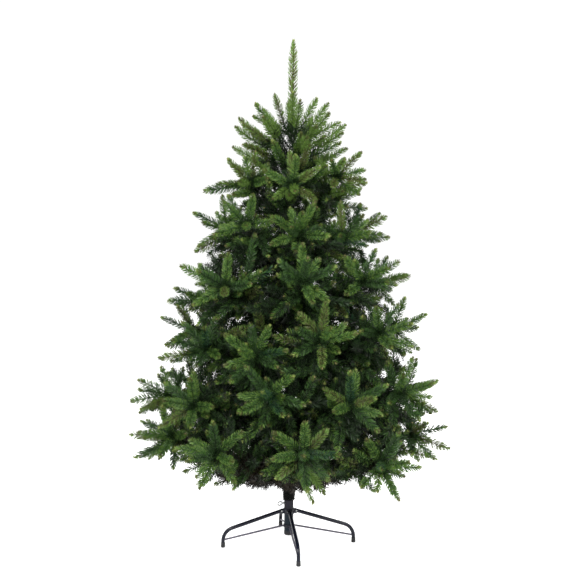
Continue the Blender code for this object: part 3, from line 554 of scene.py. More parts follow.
class Heap:
    """Collects lofted rows, to be joined into one smooth mesh with sharp edges."""

    def __init__(self):
        self.points, self.faces, self.tints, self.count = [], [], [], 0

    def loft(self, rows, tint=0, capped=True, looped=False):
        """Joins each row of corners to the next. Looped joins the last row to the first."""
        index = self.count + np.arange(rows.shape[0] * rows.shape[1]).reshape(rows.shape[:2])
        beside = np.roll(index, -1, axis=1)
        for i in range(len(index) if looped else len(index) - 1):
            k = (i + 1) % len(index)
            self.faces += np.stack([index[i], beside[i], beside[k], index[k]], axis=1).tolist()
        if capped and not looped:
            self.faces += [index[0][::-1].tolist(), index[-1].tolist()]
        self.tints += [tint] * (len(self.faces) - len(self.tints))
        self.points.append(rows.reshape(-1, 3))
        self.count += index.size

    def make(self, name, sharp_from=SHARP_FROM):
        mesh = bpy.data.meshes.new(name)
        mesh.from_pydata(np.concatenate(self.points), [], self.faces)
        mesh.polygons.foreach_set("material_index", self.tints)
        bm = bmesh.new()
        bm.from_mesh(mesh)
        bmesh.ops.recalc_face_normals(bm, faces=bm.faces)
        bm.to_mesh(mesh)
        bm.free()
        mesh.shade_smooth()
        mesh.set_sharp_from_angle(angle=math.radians(sharp_from))
        return bpy.data.objects.new(name, mesh)


class Bed:
    """Collects many small shapes of one pattern of faces, to be joined into one mesh."""

    def __init__(self, pattern):
        self.pattern = pattern
        self.points, self.tints = [], []

    def add(self, points, tints):
        """Points are (shapes, corners a shape, 3), and tints (shapes, faces a shape)."""
        self.points.append(points)
        self.tints.append(tints)

    def make(self, name):
        points = np.concatenate(self.points)
        sizes = np.tile([len(face) for face in self.pattern], len(points))
        shape = np.concatenate(self.pattern)
        corners = (np.arange(len(points))[:, None] * points.shape[1] + shape).ravel()
        mesh = bpy.data.meshes.new(name)
        mesh.vertices.add(points.size // 3)
        mesh.vertices.foreach_set("co", points.astype(np.float32).ravel())
        mesh.loops.add(len(corners))
        mesh.loops.foreach_set("vertex_index", corners.astype(np.int32))
        mesh.polygons.add(len(sizes))
        mesh.polygons.foreach_set("loop_start", (np.cumsum(sizes) - sizes).astype(np.int32))
        mesh.polygons.foreach_set("material_index", np.concatenate(self.tints).ravel().astype(np.int32))
        mesh.update(calc_edges=True)
        mesh.validate()
        return bpy.data.objects.new(name, mesh)


def settle(piece, slot, materials, *nodes):
    """Links a piece, gives it its materials, and ties it to the frame."""
    bpy.context.scene.collection.objects.link(piece)
    for material in materials:
        piece.data.materials.append(material)
    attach(piece, "root")
    if nodes:
        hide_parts(*nodes)


# The crown's growth rule


def direction(azimuth, elevation):
    """Unit vector from degrees: azimuth 0 is the front, and elevation is above the horizon."""
    a, e = math.radians(azimuth), math.radians(elevation)
    return Vector((math.sin(a) * math.cos(e), -math.cos(a) * math.cos(e), math.sin(e)))


def axis_point(z):
    """The pole's centre at a height: it leans a little to the right, from the top of the stand's tube."""
    return Vector((max(0.0, z - TUBE_TOP_Z) * math.tan(POLE_LEAN), 0.0, z))


Twig = namedtuple("Twig", "start end")
Tip = namedtuple("Tip", "root way length radius")
# A twig's end, with the turn of the frame that its tips are set out in
Star = namedtuple("Star", "twig turn tips")
# One mass of foliage: its bough, its stem and its two forked twigs with their stars
Mass = namedtuple("Mass", "name ring bough stem stars")


def star_at(twig, azimuth, lift, roll):
    axis = direction(azimuth, lift)
    across = Vector((math.cos(math.radians(azimuth)), math.sin(math.radians(azimuth)), 0.0))
    facing = Matrix((across, axis.cross(across), axis)).transposed()
    return Star(twig, facing @ Matrix.Rotation(roll, 3, "Z"), [])


def gap_between(a0, a1, b0, b1):
    """The least distance between two segments."""
    u, v, w = a1 - a0, b1 - b0, a0 - b0
    a, b, c, d, e = u.dot(u), u.dot(v), v.dot(v), u.dot(w), v.dot(w)
    bottom = a * c - b * b
    s = 0.0 if bottom < 1e-12 else min(1.0, max(0.0, (b * e - c * d) / bottom))
    t = min(1.0, max(0.0, (b * s + e) / c)) if c > 1e-12 else 0.0
    s = min(1.0, max(0.0, (b * t - d) / a)) if a > 1e-12 else 0.0
    return ((a0 + u * s) - (b0 + v * t)).length


def limb_slope(ring):
    return (ring.star_z - ring.pole_z) / (ring.star_r - RING_PLATE_R)


def limb_point(ring, azimuth, reach):
    """A point on a limb's straight line, which runs from its ring's plate to the height of its stars."""
    rise = Vector((0.0, 0.0, limb_slope(ring) * (reach - RING_PLATE_R)))
    return axis_point(ring.pole_z) + direction(azimuth, 0) * reach + rise


def limb_start(ring, azimuth):
    """Where a limb starts: its square end just clears the rim of the ring's plate."""
    slope = limb_slope(ring)
    clear = (slope * RING_PLATE_H / 2 + GAP * math.hypot(1.0, slope)) / (1 + slope * slope)
    return limb_point(ring, azimuth, RING_PLATE_R + clear)


def plan_masses():
    """Boughs, stems and twigs of every ring, before any tip grows."""
    rng = random.Random(SEED)
    masses = []
    for ring in RINGS:
        for i in range(ring.boughs):
            azimuth = ring.phase + 360 * i / ring.boughs
            start, bough = limb_start(ring, azimuth), None
            fork_r = max(ring.bough_end + FORK_BEYOND_BOUGH, FORK_REACH_SHARE * ring.star_r)
            fork = limb_point(ring, azimuth, fork_r)
            if ring.bough_end:
                end = limb_point(ring, azimuth, ring.bough_end)
                bough = Twig(start, end)
                start = end + (end - start).normalized() * GAP
            mass = Mass(f"foliage_{ring.name}_{i + 1}", ring, bough, Twig(start, fork), [])
            for side in (-1, 1):
                aim = azimuth + side * FORK_SHARE * 360 / ring.boughs
                aim += rng.uniform(-STAR_JITTER_AZIMUTH, STAR_JITTER_AZIMUTH)
                reach = ring.star_r + rng.uniform(-STAR_JITTER_R, STAR_JITTER_R)
                centre = axis_point(ring.star_z) + direction(aim, 0) * reach
                centre.z += rng.uniform(-STAR_JITTER_Z, STAR_JITTER_Z)
                mass.stars.append(star_at(Twig(fork, centre), aim, ring.lift, rng.uniform(0, math.pi / 2)))
            masses.append(mass)
    return masses


def star_ways():
    """The ways out of a star's centre, as (kind, direction), in the source's order of faces."""
    ways = []
    for axis in range(3):
        for sign in (-1, 1):
            kind = "side" if axis < 2 else ("lead" if sign > 0 else "stem")
            ways.append((kind, Vector([sign if k == axis else 0.0 for k in range(3)])))
    for x in (-1, 1):
        for y in (-1, 1):
            for z in (-1, 1):
                ways.append(("near" if z > 0 else "bare", Vector((x, y, z)).normalized()))
    return ways


def is_free(start, end, radius, owner, taken):
    others = [segment for name, *segment in taken if name != owner]
    return all(gap_between(start, end, a, b) >= radius + r + TIP_CLEARANCE for a, b, r in others)


def plan_top():
    """The short tips round the leader's foot, row by row, as (root, end) pairs."""
    rng = random.Random(SEED + 2)
    tips = []
    for row in TOP_ROWS:
        for i in range(row.count):
            azimuth = row.phase + 360 * i / row.count
            azimuth += rng.uniform(-TOP_JITTER_AZIMUTH, TOP_JITTER_AZIMUTH)
            way = direction(azimuth, row.lift + rng.uniform(-TOP_JITTER_LIFT, TOP_JITTER_LIFT))
            root = axis_point(row.z)
            tips.append((root, root + way * row.length * rng.uniform(TOP_SHORTEST, 1.0)))
    return tips


def grow_tips(masses, top_tips):
    """Grows each star's tips. One that would touch another mass or a limb is turned, or else skipped."""
    rng = random.Random(SEED + 1)
    ways = star_ways()
    taken = [("pole", axis_point(POLE_FOOT_Z), axis_point(POLE_STEPS[-1][0]), RING_PLATE_R)]
    taken += [("top", root, end, TOP_TIP_R) for root, end in top_tips]
    for mass in masses:
        if mass.bough:
            taken.append((mass.name + "_bough", *mass.bough, BOUGH_R[0]))
        taken.append((mass.name, *mass.stem, STEM_R))
        taken += [(mass.name, *star.twig, mass.ring.sleeve) for star in mass.stars]

    def grow(mass, star, kind, out):
        radius = mass.ring.tip * TIP_SLIMNESS
        reach = mass.ring.tip * STAR_TIP_LENGTH[kind] * rng.uniform(TIP_SHORTEST, 1.0)
        for attempt in range(TRIES):
            spread = TIP_JITTER if attempt < GENTLE_TRIES else TIP_TURN
            way = Vector([part + rng.uniform(-spread, spread) for part in out])
            way = star.turn @ way.normalized()
            root = star.twig.end
            end = root + way * reach
            body = (root + way * 2 * STAR_EDGE, end - way * radius)
            if end.z > LOWEST_TIP_Z and is_free(*body, radius, mass.name, taken):
                star.tips.append(Tip(np.array(root), np.array(way), reach, radius))
                taken.append((mass.name, *body, radius))
                return

    for kind_now in STAR_TIP_LENGTH:
        for mass in masses:
            for star in mass.stars:
                for kind, out in ways:
                    hangs = mass.ring is not RINGS[0] and (star.turn @ out).z < HANGING
                    if kind == kind_now and not hangs:
                        grow(mass, star, kind, out)


# Finer growth


def spiral(rng, way, count, scatter):
    """Unit vectors square to a direction that turn by the golden angle from one to the next."""
    across, up = cross_frame(way)
    turn = np.arange(count) * GOLDEN_TURN + rng.normal(0.0, scatter, count)
    return np.outer(np.cos(turn), across) + np.outer(np.sin(turn), up)


def side_shoots(rng, ring, twig):
    """Short tips all round a twig, on the way to its star."""
    start, end = np.array(twig.start), np.array(twig.end)
    way = unit(end - start)
    count = int(np.linalg.norm(end - start) * SIDE_SHOOT_SPAN / SIDE_SHOOT_STEP)
    shoots = []
    for i, radial in enumerate(spiral(rng, way, count, SIDE_SHOOT_TURN)):
        share = SIDE_SHOOT_FROM + SIDE_SHOOT_SPAN * (i + rng.random() * SIDE_SHOOT_DRIFT) / count
        usual, spread = SIDE_SHOOT_LIFT
        lift = math.radians(usual + rng.normal(0, spread))
        out = way * math.cos(lift) + radial * math.sin(lift)
        reach = ring.tip * SIDE_SHOOT_LENGTH * rng.uniform(*SIDE_SHOOT_SPREAD)
        shoots.append(Tip(start + (end - start) * share, out, reach, ring.tip * TIP_SLIMNESS * SIDE_SHOOT_R))
    return shoots


def inner_shoots(rng, limbs, tips):
    """Shoots off the limbs, and then off those shoots, each only where nothing else has grown yet."""
    taken = [tip.root + tip.way * tip.length * share for tip in tips for share in TIP_MARKS]
    used = len(taken)
    room = np.zeros((used + 2 * sum(INNER_TRIES), 3))
    room[:used] = taken
    grown = []
    for tries, lifts in zip(INNER_TRIES, INNER_LIFT):
        spans = np.array([np.linalg.norm(end - start) for _, start, end in limbs])
        young = []
        for pick in rng.choice(len(limbs), tries, p=spans / spans.sum()):
            ring, start, end = limbs[pick]
            way = (end - start) / spans[pick]
            lift = math.radians(rng.uniform(*lifts))
            out = way * math.cos(lift) + spiral(rng, way, 1, math.pi)[0] * math.sin(lift)
            root = start + (end - start) * rng.random()
            reach = rng.uniform(*INNER_LENGTH)
            middle, point = (root + out * reach * share for share in INNER_MARKS)
            if math.hypot(point[0], point[1]) > np.interp(point[2], *CROWN_REACH):
                continue
            if not INNER_LOWEST_Z < point[2] < CROWN_REACH[0][-1]:
                continue
            clearance = INNER_CLEARANCE if point[2] > BROWN_UNDER_Z else LOW_CLEARANCE
            if min(np.linalg.norm(room[:used] - at, axis=1).min() for at in (middle, point)) < clearance:
                continue
            room[used : used + 2] = middle, point
            used += 2
            young.append((ring, root, point))
        grown += young
        limbs = young
    return grown


def limb_spots(limbs):
    """Points all along the limbs, where a shoot may start."""
    return np.array([start + (far - start) * share for _, start, far in limbs for share in LIMB_SHARES])


def placed_shoots(limbs, ends):
    """Shoots that are given by their ends, each from the nearest point of a limb, as (root, end)."""
    spots = limb_spots(limbs)
    return [(spots[np.linalg.norm(spots - end, axis=1).argmin()], end) for end in np.array(ends)]


def sighted_shoots(limbs, ends):
    """Shoots whose ends are given as seen from the camera. Each comes from the limb that suits its length."""
    spots = limb_spots(limbs)
    eye = np.array(CAMERA_AT)
    shoots = []
    for x, z in ends:
        ray = np.array((x, 0.0, z)) - eye
        reached = eye + ray * ((spots[:, 1] - eye[1]) / ray[1])[:, None]
        way = reached - spots
        far = np.linalg.norm(way, axis=1)
        outward = np.einsum("ij,ij->i", way[:, :2], reached[:, :2]) / far
        outward /= np.linalg.norm(reached[:, :2], axis=1)
        best = (np.abs(far - PLACED_SHOWN) - OUTWARD_WORTH * outward).argmin()
        shoots.append((spots[best], reached[best]))
    return shoots


# The limbs of all rings, the tips of each mass, and the finer shoots
Crown = namedtuple("Crown", "masses limbs tips inner hanging outer top")


@lru_cache(maxsize=1)
def grown_crown():
    """Everything that grows, once for all the operators."""
    rng = np.random.default_rng(SHOOT_SEED)
    masses, top_tips = plan_masses(), plan_top()
    grow_tips(masses, top_tips)
    limbs = [
        (mass.ring, np.array(limb.start), np.array(limb.end))
        for mass in masses
        for limb in filter(None, (mass.bough, mass.stem, *(star.twig for star in mass.stars)))
    ]
    tips = {
        mass.name: [tip for star in mass.stars for tip in star.tips + side_shoots(rng, mass.ring, star.twig)]
        for mass in masses
    }
    inner = inner_shoots(rng, limbs, [tip for own in tips.values() for tip in own])
    hanging = placed_shoots([limb for limb in limbs if limb[0] in RINGS[:2]], HANGING_ENDS)
    top = [(np.array(root), np.array(end)) for root, end in top_tips]
    for end in np.array(CROWN_ENDS):
        top.append((np.array(axis_point(end[2] - CROWN_RISE * math.hypot(end[0], end[1]))), end))
    return Crown(masses, limbs, tips, inner, hanging, sighted_shoots(limbs, OUTER_ENDS), top)


# Needles as arrays

# A moulded blade: two corners of its root, its two shoulders, and its point
BLADE = ((0, 1, 3, 2), (2, 3, 4))
# A cut film needle: two corners of its root, and two of its square end
FILM = ((0, 1, 3, 2),)


def blades(roots, ends, across, width, bow):
    """Moulded needles from roots to ends. Across is each one's width direction, and bow lifts its middle."""
    along = ends - roots
    flat = np.cross(across, along)
    flat /= np.linalg.norm(flat, axis=1, keepdims=True)
    half = across * (width / 2)[:, None]
    shoulder = roots + along * BLADE_SHOULDER + flat * bow[:, None]
    foot = half * BLADE_ROOT_WIDTH
    return np.stack([roots - foot, roots + foot, shoulder - half, shoulder + half, ends], axis=1)


def tip_between(root, end, radius):
    """A tip that is given by its two ends."""
    return Tip(root, unit(end - root), np.linalg.norm(end - root), radius)


def stem_point(tip, bend, share):
    """A point on a tip's stem, which bends a little more towards its end."""
    run = tip.length - NEEDLE_SWEEP[1][-1]
    return tip.root + np.multiply.outer(share * run, tip.way) + np.multiply.outer(share**2, bend)


def moulded_tip(rng, tip, bend, mould, outline):
    """The needles of one tip in whorls, as its mould sets them, with their places along it.

    Each blade is turned halfway between flat round the stem and flat along it, so it shows from all sides."""
    rows = mould.rows
    whorls = max(FEWEST_WHORLS, int(tip.length / mould.pitch))
    row = np.tile(np.arange(rows), whorls)
    whorl = np.repeat(np.arange(whorls), rows)
    count = whorls * rows
    share = whorl + FIRST_WHORL + mould.stagger * (row % 2)
    share = (share + rng.uniform(-WHORL_SCATTER, WHORL_SCATTER, count)) / whorls
    turn = (row + rng.normal(0.0, ROW_SCATTER, count)) * math.tau / rows + rng.uniform(0.0, math.tau)
    turn += whorl * rng.normal(0.0, ROW_DRIFT)
    across, up = cross_frame(tip.way)
    radial = np.outer(np.cos(turn), across) + np.outer(np.sin(turn), up)
    sweep = np.interp(share, *NEEDLE_SWEEP) * mould.lean * rng.uniform(*NEEDLE_SPREAD, count)
    reach = np.interp(share, *outline) * tip.radius * TIP_FULLNESS * rng.uniform(*NEEDLE_SPREAD, count)
    roots = stem_point(tip, bend, share)
    ends = roots + radial * reach[:, None] + np.outer(sweep, tip.way) + np.outer(share, bend) * END_BEND
    round_stem = np.cross(tip.way, radial)
    along_stem = np.cross(round_stem, ends - roots)
    along_stem /= np.linalg.norm(along_stem, axis=1, keepdims=True)
    twist = (rng.choice((-1, 1), count) * BLADE_TWIST + rng.normal(0.0, TWIST_SPREAD, count))[:, None]
    side = round_stem * np.cos(twist) + along_stem * np.sin(twist)
    width = mould.width * rng.uniform(*WIDTH_SPREAD, count)
    return blades(roots, ends, side, width, BLADE_BOW * reach), share


def film_needles(rng, start, end, per_metre, reach, width):
    """Cut needles that stand out all round a wire, by one reach at its start and another at its end."""
    way = unit(end - start)
    count = max(FEWEST_FILM_NEEDLES, int(np.linalg.norm(end - start) * per_metre))
    radial = spiral(rng, way, count, FILM_SCATTER)
    share = rng.random(count)[:, None]
    roots = start + (end - start) * share
    out = (reach[0] + (reach[1] - reach[0]) * share) * rng.uniform(*FILM_SPREAD, count)[:, None]
    spread = rng.uniform(-FILM_SWEEP_SPREAD, FILM_SWEEP_SPREAD, count)[:, None]
    ends = roots + radial * out + way * out * (FILM_SWEEP + spread)
    twist = rng.normal(0.0, FILM_SCATTER, count)[:, None]
    side = (np.cross(radial, way) * np.cos(twist) + radial * np.sin(twist)) * (width / 2)
    tail = side * FILM_END_WIDTH
    return np.stack([roots - side, roots + side, ends - tail, ends + tail], axis=1)


# Stand


def in_leg_plane(quarter, r, z):
    a = LEG_TURN + quarter * math.pi / 2
    return np.array(Vector((math.cos(a), math.sin(a), 0.0)) * r + Vector((0.0, 0.0, z)))


def leg_line(bend_points=18):
    """The leg's centre line as (radius, z): straight, then one bend down to the foot."""
    (r0, z0), (r1, z1) = LEG_TOP, LEG_BEND_START
    slope = math.atan2(z0 - z1, r1 - r0)
    bend_r = (FOOT_CIRCLE_R - r1) / (1 - math.sin(slope))
    points = [LEG_TOP, LEG_BEND_START]
    for i in range(1, bend_points + 1):
        heading = slope + (math.pi / 2 - slope) * i / bend_points
        r = r1 + bend_r * (math.sin(heading) - math.sin(slope))
        z = z1 - bend_r * (math.cos(slope) - math.cos(heading))
        points.append((r, z))
    return points + [(FOOT_CIRCLE_R, LEG_END_Z)]


def leg_radius_at(z):
    """How far out the leg's centre line is at a height."""
    radii, heights = np.array(leg_line()).T
    return float(np.interp(z, heights[::-1], radii[::-1]))


def ear_outline():
    """The hub's ear from the side: square where it is welded, and round about the pivot."""
    middle_z, half = (EAR_LOW_Z + EAR_TOP_Z) / 2, (EAR_TOP_Z - EAR_LOW_Z) / 2
    nose = EAR_REACH - half
    turn = np.linspace(-math.pi / 2, math.pi / 2, 13)
    round_end = [(nose + half * math.cos(a), middle_z + half * math.sin(a)) for a in turn]
    return [(EAR_START, EAR_LOW_Z), *round_end, (EAR_START, EAR_TOP_Z)]


class TREE_OT_stand(bpy.types.Operator):
    """Makes the tube, hub, legs, braces, rubber feet and clamp screw"""

    bl_idname = "tree.stand"
    bl_label = "Stand"

    def execute(self, context):
        settings = context.scene.tree_stand
        coat = coated_steel("powder_coated_steel", settings.leg_paint, 0.18, 2.2, 0.02, 0.22)
        slate = coated_steel("slate_powder_coat", settings.tube_paint, 0.42, 2.2, 0.06, 0.12)
        coarse = coated_steel("textured_grey_coat", settings.sleeve_paint, 0.58, 1.2, 0.16, 0.2)
        wire = coated_steel("coated_brace_wire", settings.brace_paint, 0.45, 1.5, 0.04)
        zinc, rubber = zinc_plate(settings.zinc), moulded_rubber(settings.rubber)
        self.make_tube(slate, coarse, rubber)
        self.make_hub(coat, zinc)
        for quarter, side in enumerate(LEGS):
            self.make_leg(quarter, side, settings, (coat, wire, rubber))
        self.make_screw(zinc)
        return {"FINISHED"}

    def make_tube(self, slate, coarse, rubber):
        """The upright tube with its rolled rim, and the rubber cap that closes its foot."""
        tube, cap = Heap(), Heap()
        foot = (TUBE_R, TUBE_FLOOR_Z + 0.8 * MM)
        rim = [(TUBE_BORE_R, TUBE_FLOOR_Z + GAP), (TUBE_BORE_R, TUBE_TOP_Z)]
        rim += [(TUBE_R, TUBE_TOP_Z), (TUBE_R, HUB_TOP_Z)]
        tube.loft(turned(rounded(rim, RIM_ROUND), TUBE_SIDES), 1, capped=False)
        tube.loft(turned([(TUBE_R, HUB_TOP_Z), foot], TUBE_SIDES), 0, capped=False)
        settle(tube.make("upright_tube"), STEEL, [slate, coarse], "stand_tube")
        lip = from_base((TUBE_R, TUBE_FLOOR_Z), (-3, 0), (0.1, 1.2))
        side = from_base((END_CAP_R, TUBE_FOOT_Z), (0, 13.2), (0, 7.5), (-0.5, 7), (-0.2, 6.5), (-0.4, 0))
        outline = [*lip, *side, (2 * MM, TUBE_FOOT_Z)]
        cap.loft(turned(rounded(outline, CAP_ROUND, 5), TUBE_SIDES))
        settle(cap.make("tube_end_cap"), RUBBER, [rubber])

    def make_hub(self, coat, zinc):
        """The hub with its eight ears, the ring that the braces hang from, and the legs' rivets."""
        hub, ring, rivets = Heap(), Heap(), Heap()
        inner = TUBE_R + GAP / 2
        sleeves = ((hub, HUB_R, HUB_LOW_Z, HUB_TOP_Z), (ring, COLLAR_R, COLLAR_LOW_Z, COLLAR_TOP_Z))
        for heap, outer, low, top in sleeves:
            middle = (inner, (low + top) / 2)
            profile = [middle, (inner, top), (outer, top), (outer, low), (inner, low), middle]
            heap.loft(turned(rounded(profile, SLEEVE_ROUND)[:-1], TUBE_SIDES), looped=True)
        half_gap = LEG_TUBE_R + EAR_CLEARANCE
        out = half_gap + EAR_THICK
        head = [(0.4 * MM, out + PIN_HEAD), (2.6 * MM, out + 0.75 * PIN_HEAD)]
        head += [(3.5 * MM, out + 0.1 * MM), (PIVOT_R, out)]
        rivet = turned(rounded(head + [(r, -h) for r, h in reversed(head)], RIVET_ROUND), RIVET_SIDES)
        slope = (LEG_BEND_START[1] - LEG_TOP[1]) / (LEG_BEND_START[0] - LEG_TOP[0])
        pivot = Matrix.Translation((PIVOT_REACH, 0.0, LEG_TOP[1] + slope * (PIVOT_REACH - LEG_TOP[0])))
        ear = plate_rows(ear_outline(), EAR_THICK, EAR_ROUND)
        for quarter in range(4):
            turn = Matrix.Rotation(LEG_TURN + quarter * math.pi / 2, 4, "Z")
            for side in (-1, 1):
                shift = Matrix.Translation((0.0, side * (half_gap + EAR_THICK / 2), 0.0))
                hub.loft(placed(ear, turn @ shift))
            rivets.loft(placed(rivet, turn @ pivot @ Matrix.Rotation(math.pi / 2, 4, "X")))
        settle(hub.make("hub_with_ears"), STEEL, [coat], "leg_hub")
        settle(ring.make("brace_ring"), STEEL, [coat], "brace_collar")
        settle(rivets.make("leg_rivets"), ZINC, [zinc])

    def make_leg(self, quarter, side, settings, materials):
        """One leg bent from tube, its rubber foot and the wire brace that holds it out."""
        coat, wire, rubber = materials
        leg, foot, brace = Heap(), Heap(), Heap()
        line = np.array([in_leg_plane(quarter, r, z) for r, z in leg_line()])
        second = line[0] + unit(line[1] - line[0]) * LEG_ROUND
        line = np.concatenate([[line[0], second], straight(*line[:2], LEG_STEP)[1:-1], line[1:]])
        radii = np.full(len(line), settings.leg_radius)
        radii[0] -= LEG_ROUND
        leg.loft(swept(line, radii, LEG_SIDES))
        settle(leg.make(f"bent_leg_{side}"), STEEL, [coat], f"leg_{side}")

        r, tube_r = settings.foot_radius, settings.leg_radius + 0.05 * MM
        tread = from_base((r, 0.0), (-0.8, 0), (0, 2.5), (-0.1, 5), (-0.6, 5.6), (-0.3, 6.4))
        rim = from_base((r, FOOT_CAP_H), (-0.5, -1.6), (-0.1, -1), (-0.3, 0))
        mouth = [(tube_r, FOOT_CAP_H), (tube_r, FOOT_CAP_H - 3 * MM)]
        at = Matrix.Translation(in_leg_plane(quarter, FOOT_CIRCLE_R, 0.0))
        foot.loft(placed(turned(rounded([(2 * MM, 0.0), *tread, *rim, *mouth], FOOT_ROUND), CAP_SIDES), at))
        settle(foot.make(f"rubber_foot_{side}"), RUBBER, [rubber], f"foot_cap_{side}")

        inner = in_leg_plane(quarter, COLLAR_R - BRACE_SUNK[0], (COLLAR_LOW_Z + COLLAR_TOP_Z) / 2)
        outer_r = leg_radius_at(BRACE_FOOT_Z) - LEG_TUBE_R + BRACE_SUNK[1]
        outer = in_leg_plane(quarter, outer_r, BRACE_FOOT_Z)
        brace.loft(swept(straight(inner, outer, BRACE_STEP), settings.brace_radius, WIRE_SIDES))
        settle(brace.make(f"wire_brace_{side}"), STEEL, [wire], f"brace_{side}")

    def make_screw(self, zinc):
        """The clamp screw: a rolled thread, a flanged nut on the tube, and an eye to turn it by."""
        heap = Heap()
        out, at = np.array(direction(SCREW_AZIMUTH, 0)), np.array((0.0, 0.0, SCREW_Z))

        def thread(run, angle):
            return THREAD_DEPTH * np.cos(angle - math.tau * run / THREAD_PITCH)

        shaft = straight(at + out * (TUBE_R - 0.4 * MM), at + out * (TUBE_R + SCREW_REACH), THREAD_PITCH / 6)
        heap.loft(swept(shaft, SCREW_R * SCREW_CORE, SCREW_SIDES, thread))
        heap.loft(swept([at + out * (TUBE_R + x * MM) for x in NUT_RUN], np.array(NUT_R) * MM, 6))
        angle = np.arange(EYE_SIDES) * math.tau / EYE_SIDES
        across, up = np.cos(angle) * SCREW_WIRE_R, np.sin(angle) * SCREW_WIRE_R
        eye = turned([(SCREW_EYE_R, 0.0)], CAP_SIDES)[0]
        rows = np.array([point + np.outer(across, unit(point)) + np.outer(up, (0, 0, 1)) for point in eye])
        middle = at + out * (TUBE_R + SCREW_REACH + SCREW_EYE_R - SCREW_WIRE_R)
        facing = Matrix.Rotation(math.radians(SCREW_AZIMUTH - 90), 4, "Z")
        turn = facing @ Matrix.Rotation(SCREW_EYE_TILT, 4, "X")
        heap.loft(placed(rows, Matrix.Translation(middle) @ turn), looped=True)
        settle(heap.make("clamp_eye_screw", SCREW_SHARP_FROM), ZINC, [zinc], "thumb_screw")


# Pole and limbs


class TREE_OT_pole(bpy.types.Operator):
    """Makes the pole's three lengths of tube, its hinge plates and the wound band at its foot"""

    bl_idname = "tree.pole"
    bl_label = "Pole"

    def execute(self, context):
        settings = context.scene.tree_pole
        enamel = coated_steel("dark_painted_pole", settings.pole_paint, 0.5, 2.5, 0.05)
        film = wound_film("film_wound_band", settings.band_dark, settings.band_light, BAND_GLOSS)
        tubes, plates, band = Heap(), Heap(), Heap()
        foot = POLE_FOOT_Z
        for top, radius in POLE_STEPS:
            low = [(radius, foot), (radius, max(foot + 1 * MM, TUBE_TOP_Z))]
            groove = from_base((radius, top), (0, -26), (-0.5, -25), (-0.5, -23), (0, -22))
            rim = from_base((radius, top), (0, 0), (-2, 0), (-2, -8))
            tubes.loft(leaning(turned(rounded([*low, *groove, *rim], STEP_ROUND), PLATE_SIDES)))
            foot = top - 10 * MM
        settle(tubes.make("pole_tubes"), POLE, [enamel], "centre_pole")
        for ring in RINGS:
            self.add_plate(plates, ring, settings.hinge_cheek)
        settle(plates.make("hinge_plates"), POLE, [enamel])

        def wound(run, angle):
            return BAND_RELIEF * np.cos(angle - math.tau * run / BAND_TURN)

        line = [axis_point(z) for z in np.arange(BAND_LOW_Z, RINGS[0].pole_z, BAND_TURN / 8)]
        band.loft(swept(line, BAND_R, BAND_SIDES, wound))
        band.loft(swept(TIE_WIRE, TIE_WIRE_R, TWIG_SIDES))
        settle(band.make("pole_foot_band"), WIRE, [film])
        return {"FINISHED"}

    def add_plate(self, heap, ring, cheek):
        """A ring's plate, with a pair of cheeks and a pin for each bough."""
        at = axis_point(ring.pole_z)
        half = RING_PLATE_H / 2
        pole_r = next(radius for top, radius in POLE_STEPS if ring.pole_z < top) - 0.4 * MM
        profile = [(pole_r, half), (RING_PLATE_R, half), (RING_PLATE_R, -half), (pole_r, -half)]
        rows = turned(rounded(profile, PLATE_ROUND), PLATE_SIDES)
        heap.loft(placed(rows, Matrix.Translation(at)), looped=True)
        root, nose = RING_PLATE_R / 2, RING_PLATE_R + HINGE_NOSE
        outline = [(root, -cheek), (RING_PLATE_R, -cheek), (nose, -cheek / 3), (nose, 0.7 * cheek)]
        plate = plate_rows([*outline, (root, cheek)], HINGE_THICK, HINGE_ROUND)
        pin_end = np.array((0.0, PIN_HALF_LENGTH, 0.0))
        pin = swept(straight(-pin_end, pin_end, PIN_STEP), PIN_R, PIN_SIDES)
        for i in range(ring.boughs):
            azimuth = ring.phase + 360 * i / ring.boughs
            turn = Matrix.Translation(at) @ Matrix.Rotation(math.radians(azimuth - 90), 4, "Z")
            for side in (-1, 1):
                heap.loft(placed(plate, turn @ Matrix.Translation((0.0, side * HINGE_HALF_GAP, 0.0))))
            heap.loft(placed(pin, turn @ Matrix.Translation((RING_PLATE_R + PIN_OUT, 0.0, 0.0))))


class TREE_OT_limbs(bpy.types.Operator):
    """Makes the twisted wire boughs and the forked twigs"""

    bl_idname = "tree.limbs"
    bl_label = "Boughs and twigs"

    def execute(self, context):
        settings = context.scene.tree_limbs
        film = wound_film("film_wound_wire", settings.film_dark, settings.film_light)
        crown = grown_crown()

        def twist(run, angle):
            return WIRE_RELIEF * np.cos(WIRE_LOBES * (angle - math.tau * run / settings.twist_pitch))

        def wind(heap, limb, first_r, last_r):
            line = straight(*limb, WIRE_STEP)
            radii = np.linspace(first_r, last_r, len(line)) * (1 - WIRE_RELIEF / 2)
            heap.loft(swept(line, radii, WIRE_SIDES, twist))

        for ring in RINGS:
            boughs, twigs = Heap(), Heap()
            own = [mass for mass in crown.masses if mass.ring is ring]
            for mass in own:
                if mass.bough:
                    wind(boughs, mass.bough, *BOUGH_R)
                wind(twigs, mass.stem, BOUGH_R[1] if mass.bough else BOUGH_R[0], settings.twig_radius)
                for star in mass.stars:
                    line = straight(*star.twig, TWIG_STEP)
                    radii = settings.twig_radius * np.linspace(1.0, TWIG_END, len(line))
                    twigs.loft(swept(line, radii, TWIG_SIDES))
            for owner, root, point in crown.inner:
                if owner is ring:
                    twigs.loft(swept([root, (root + point) / 2, point], SHOOT_WIRE_R, SHOOT_SIDES))
            if boughs.count:
                nodes = [mass.name.replace("foliage", "bough") for mass in own]
                settle(boughs.make(f"wired_boughs_{ring.name}", WIRE_SHARP_FROM), WIRE, [film], *nodes)
            settle(twigs.make(f"twigs_{ring.name}", WIRE_SHARP_FROM), WIRE, [film])
        return {"FINISHED"}


# Foliage


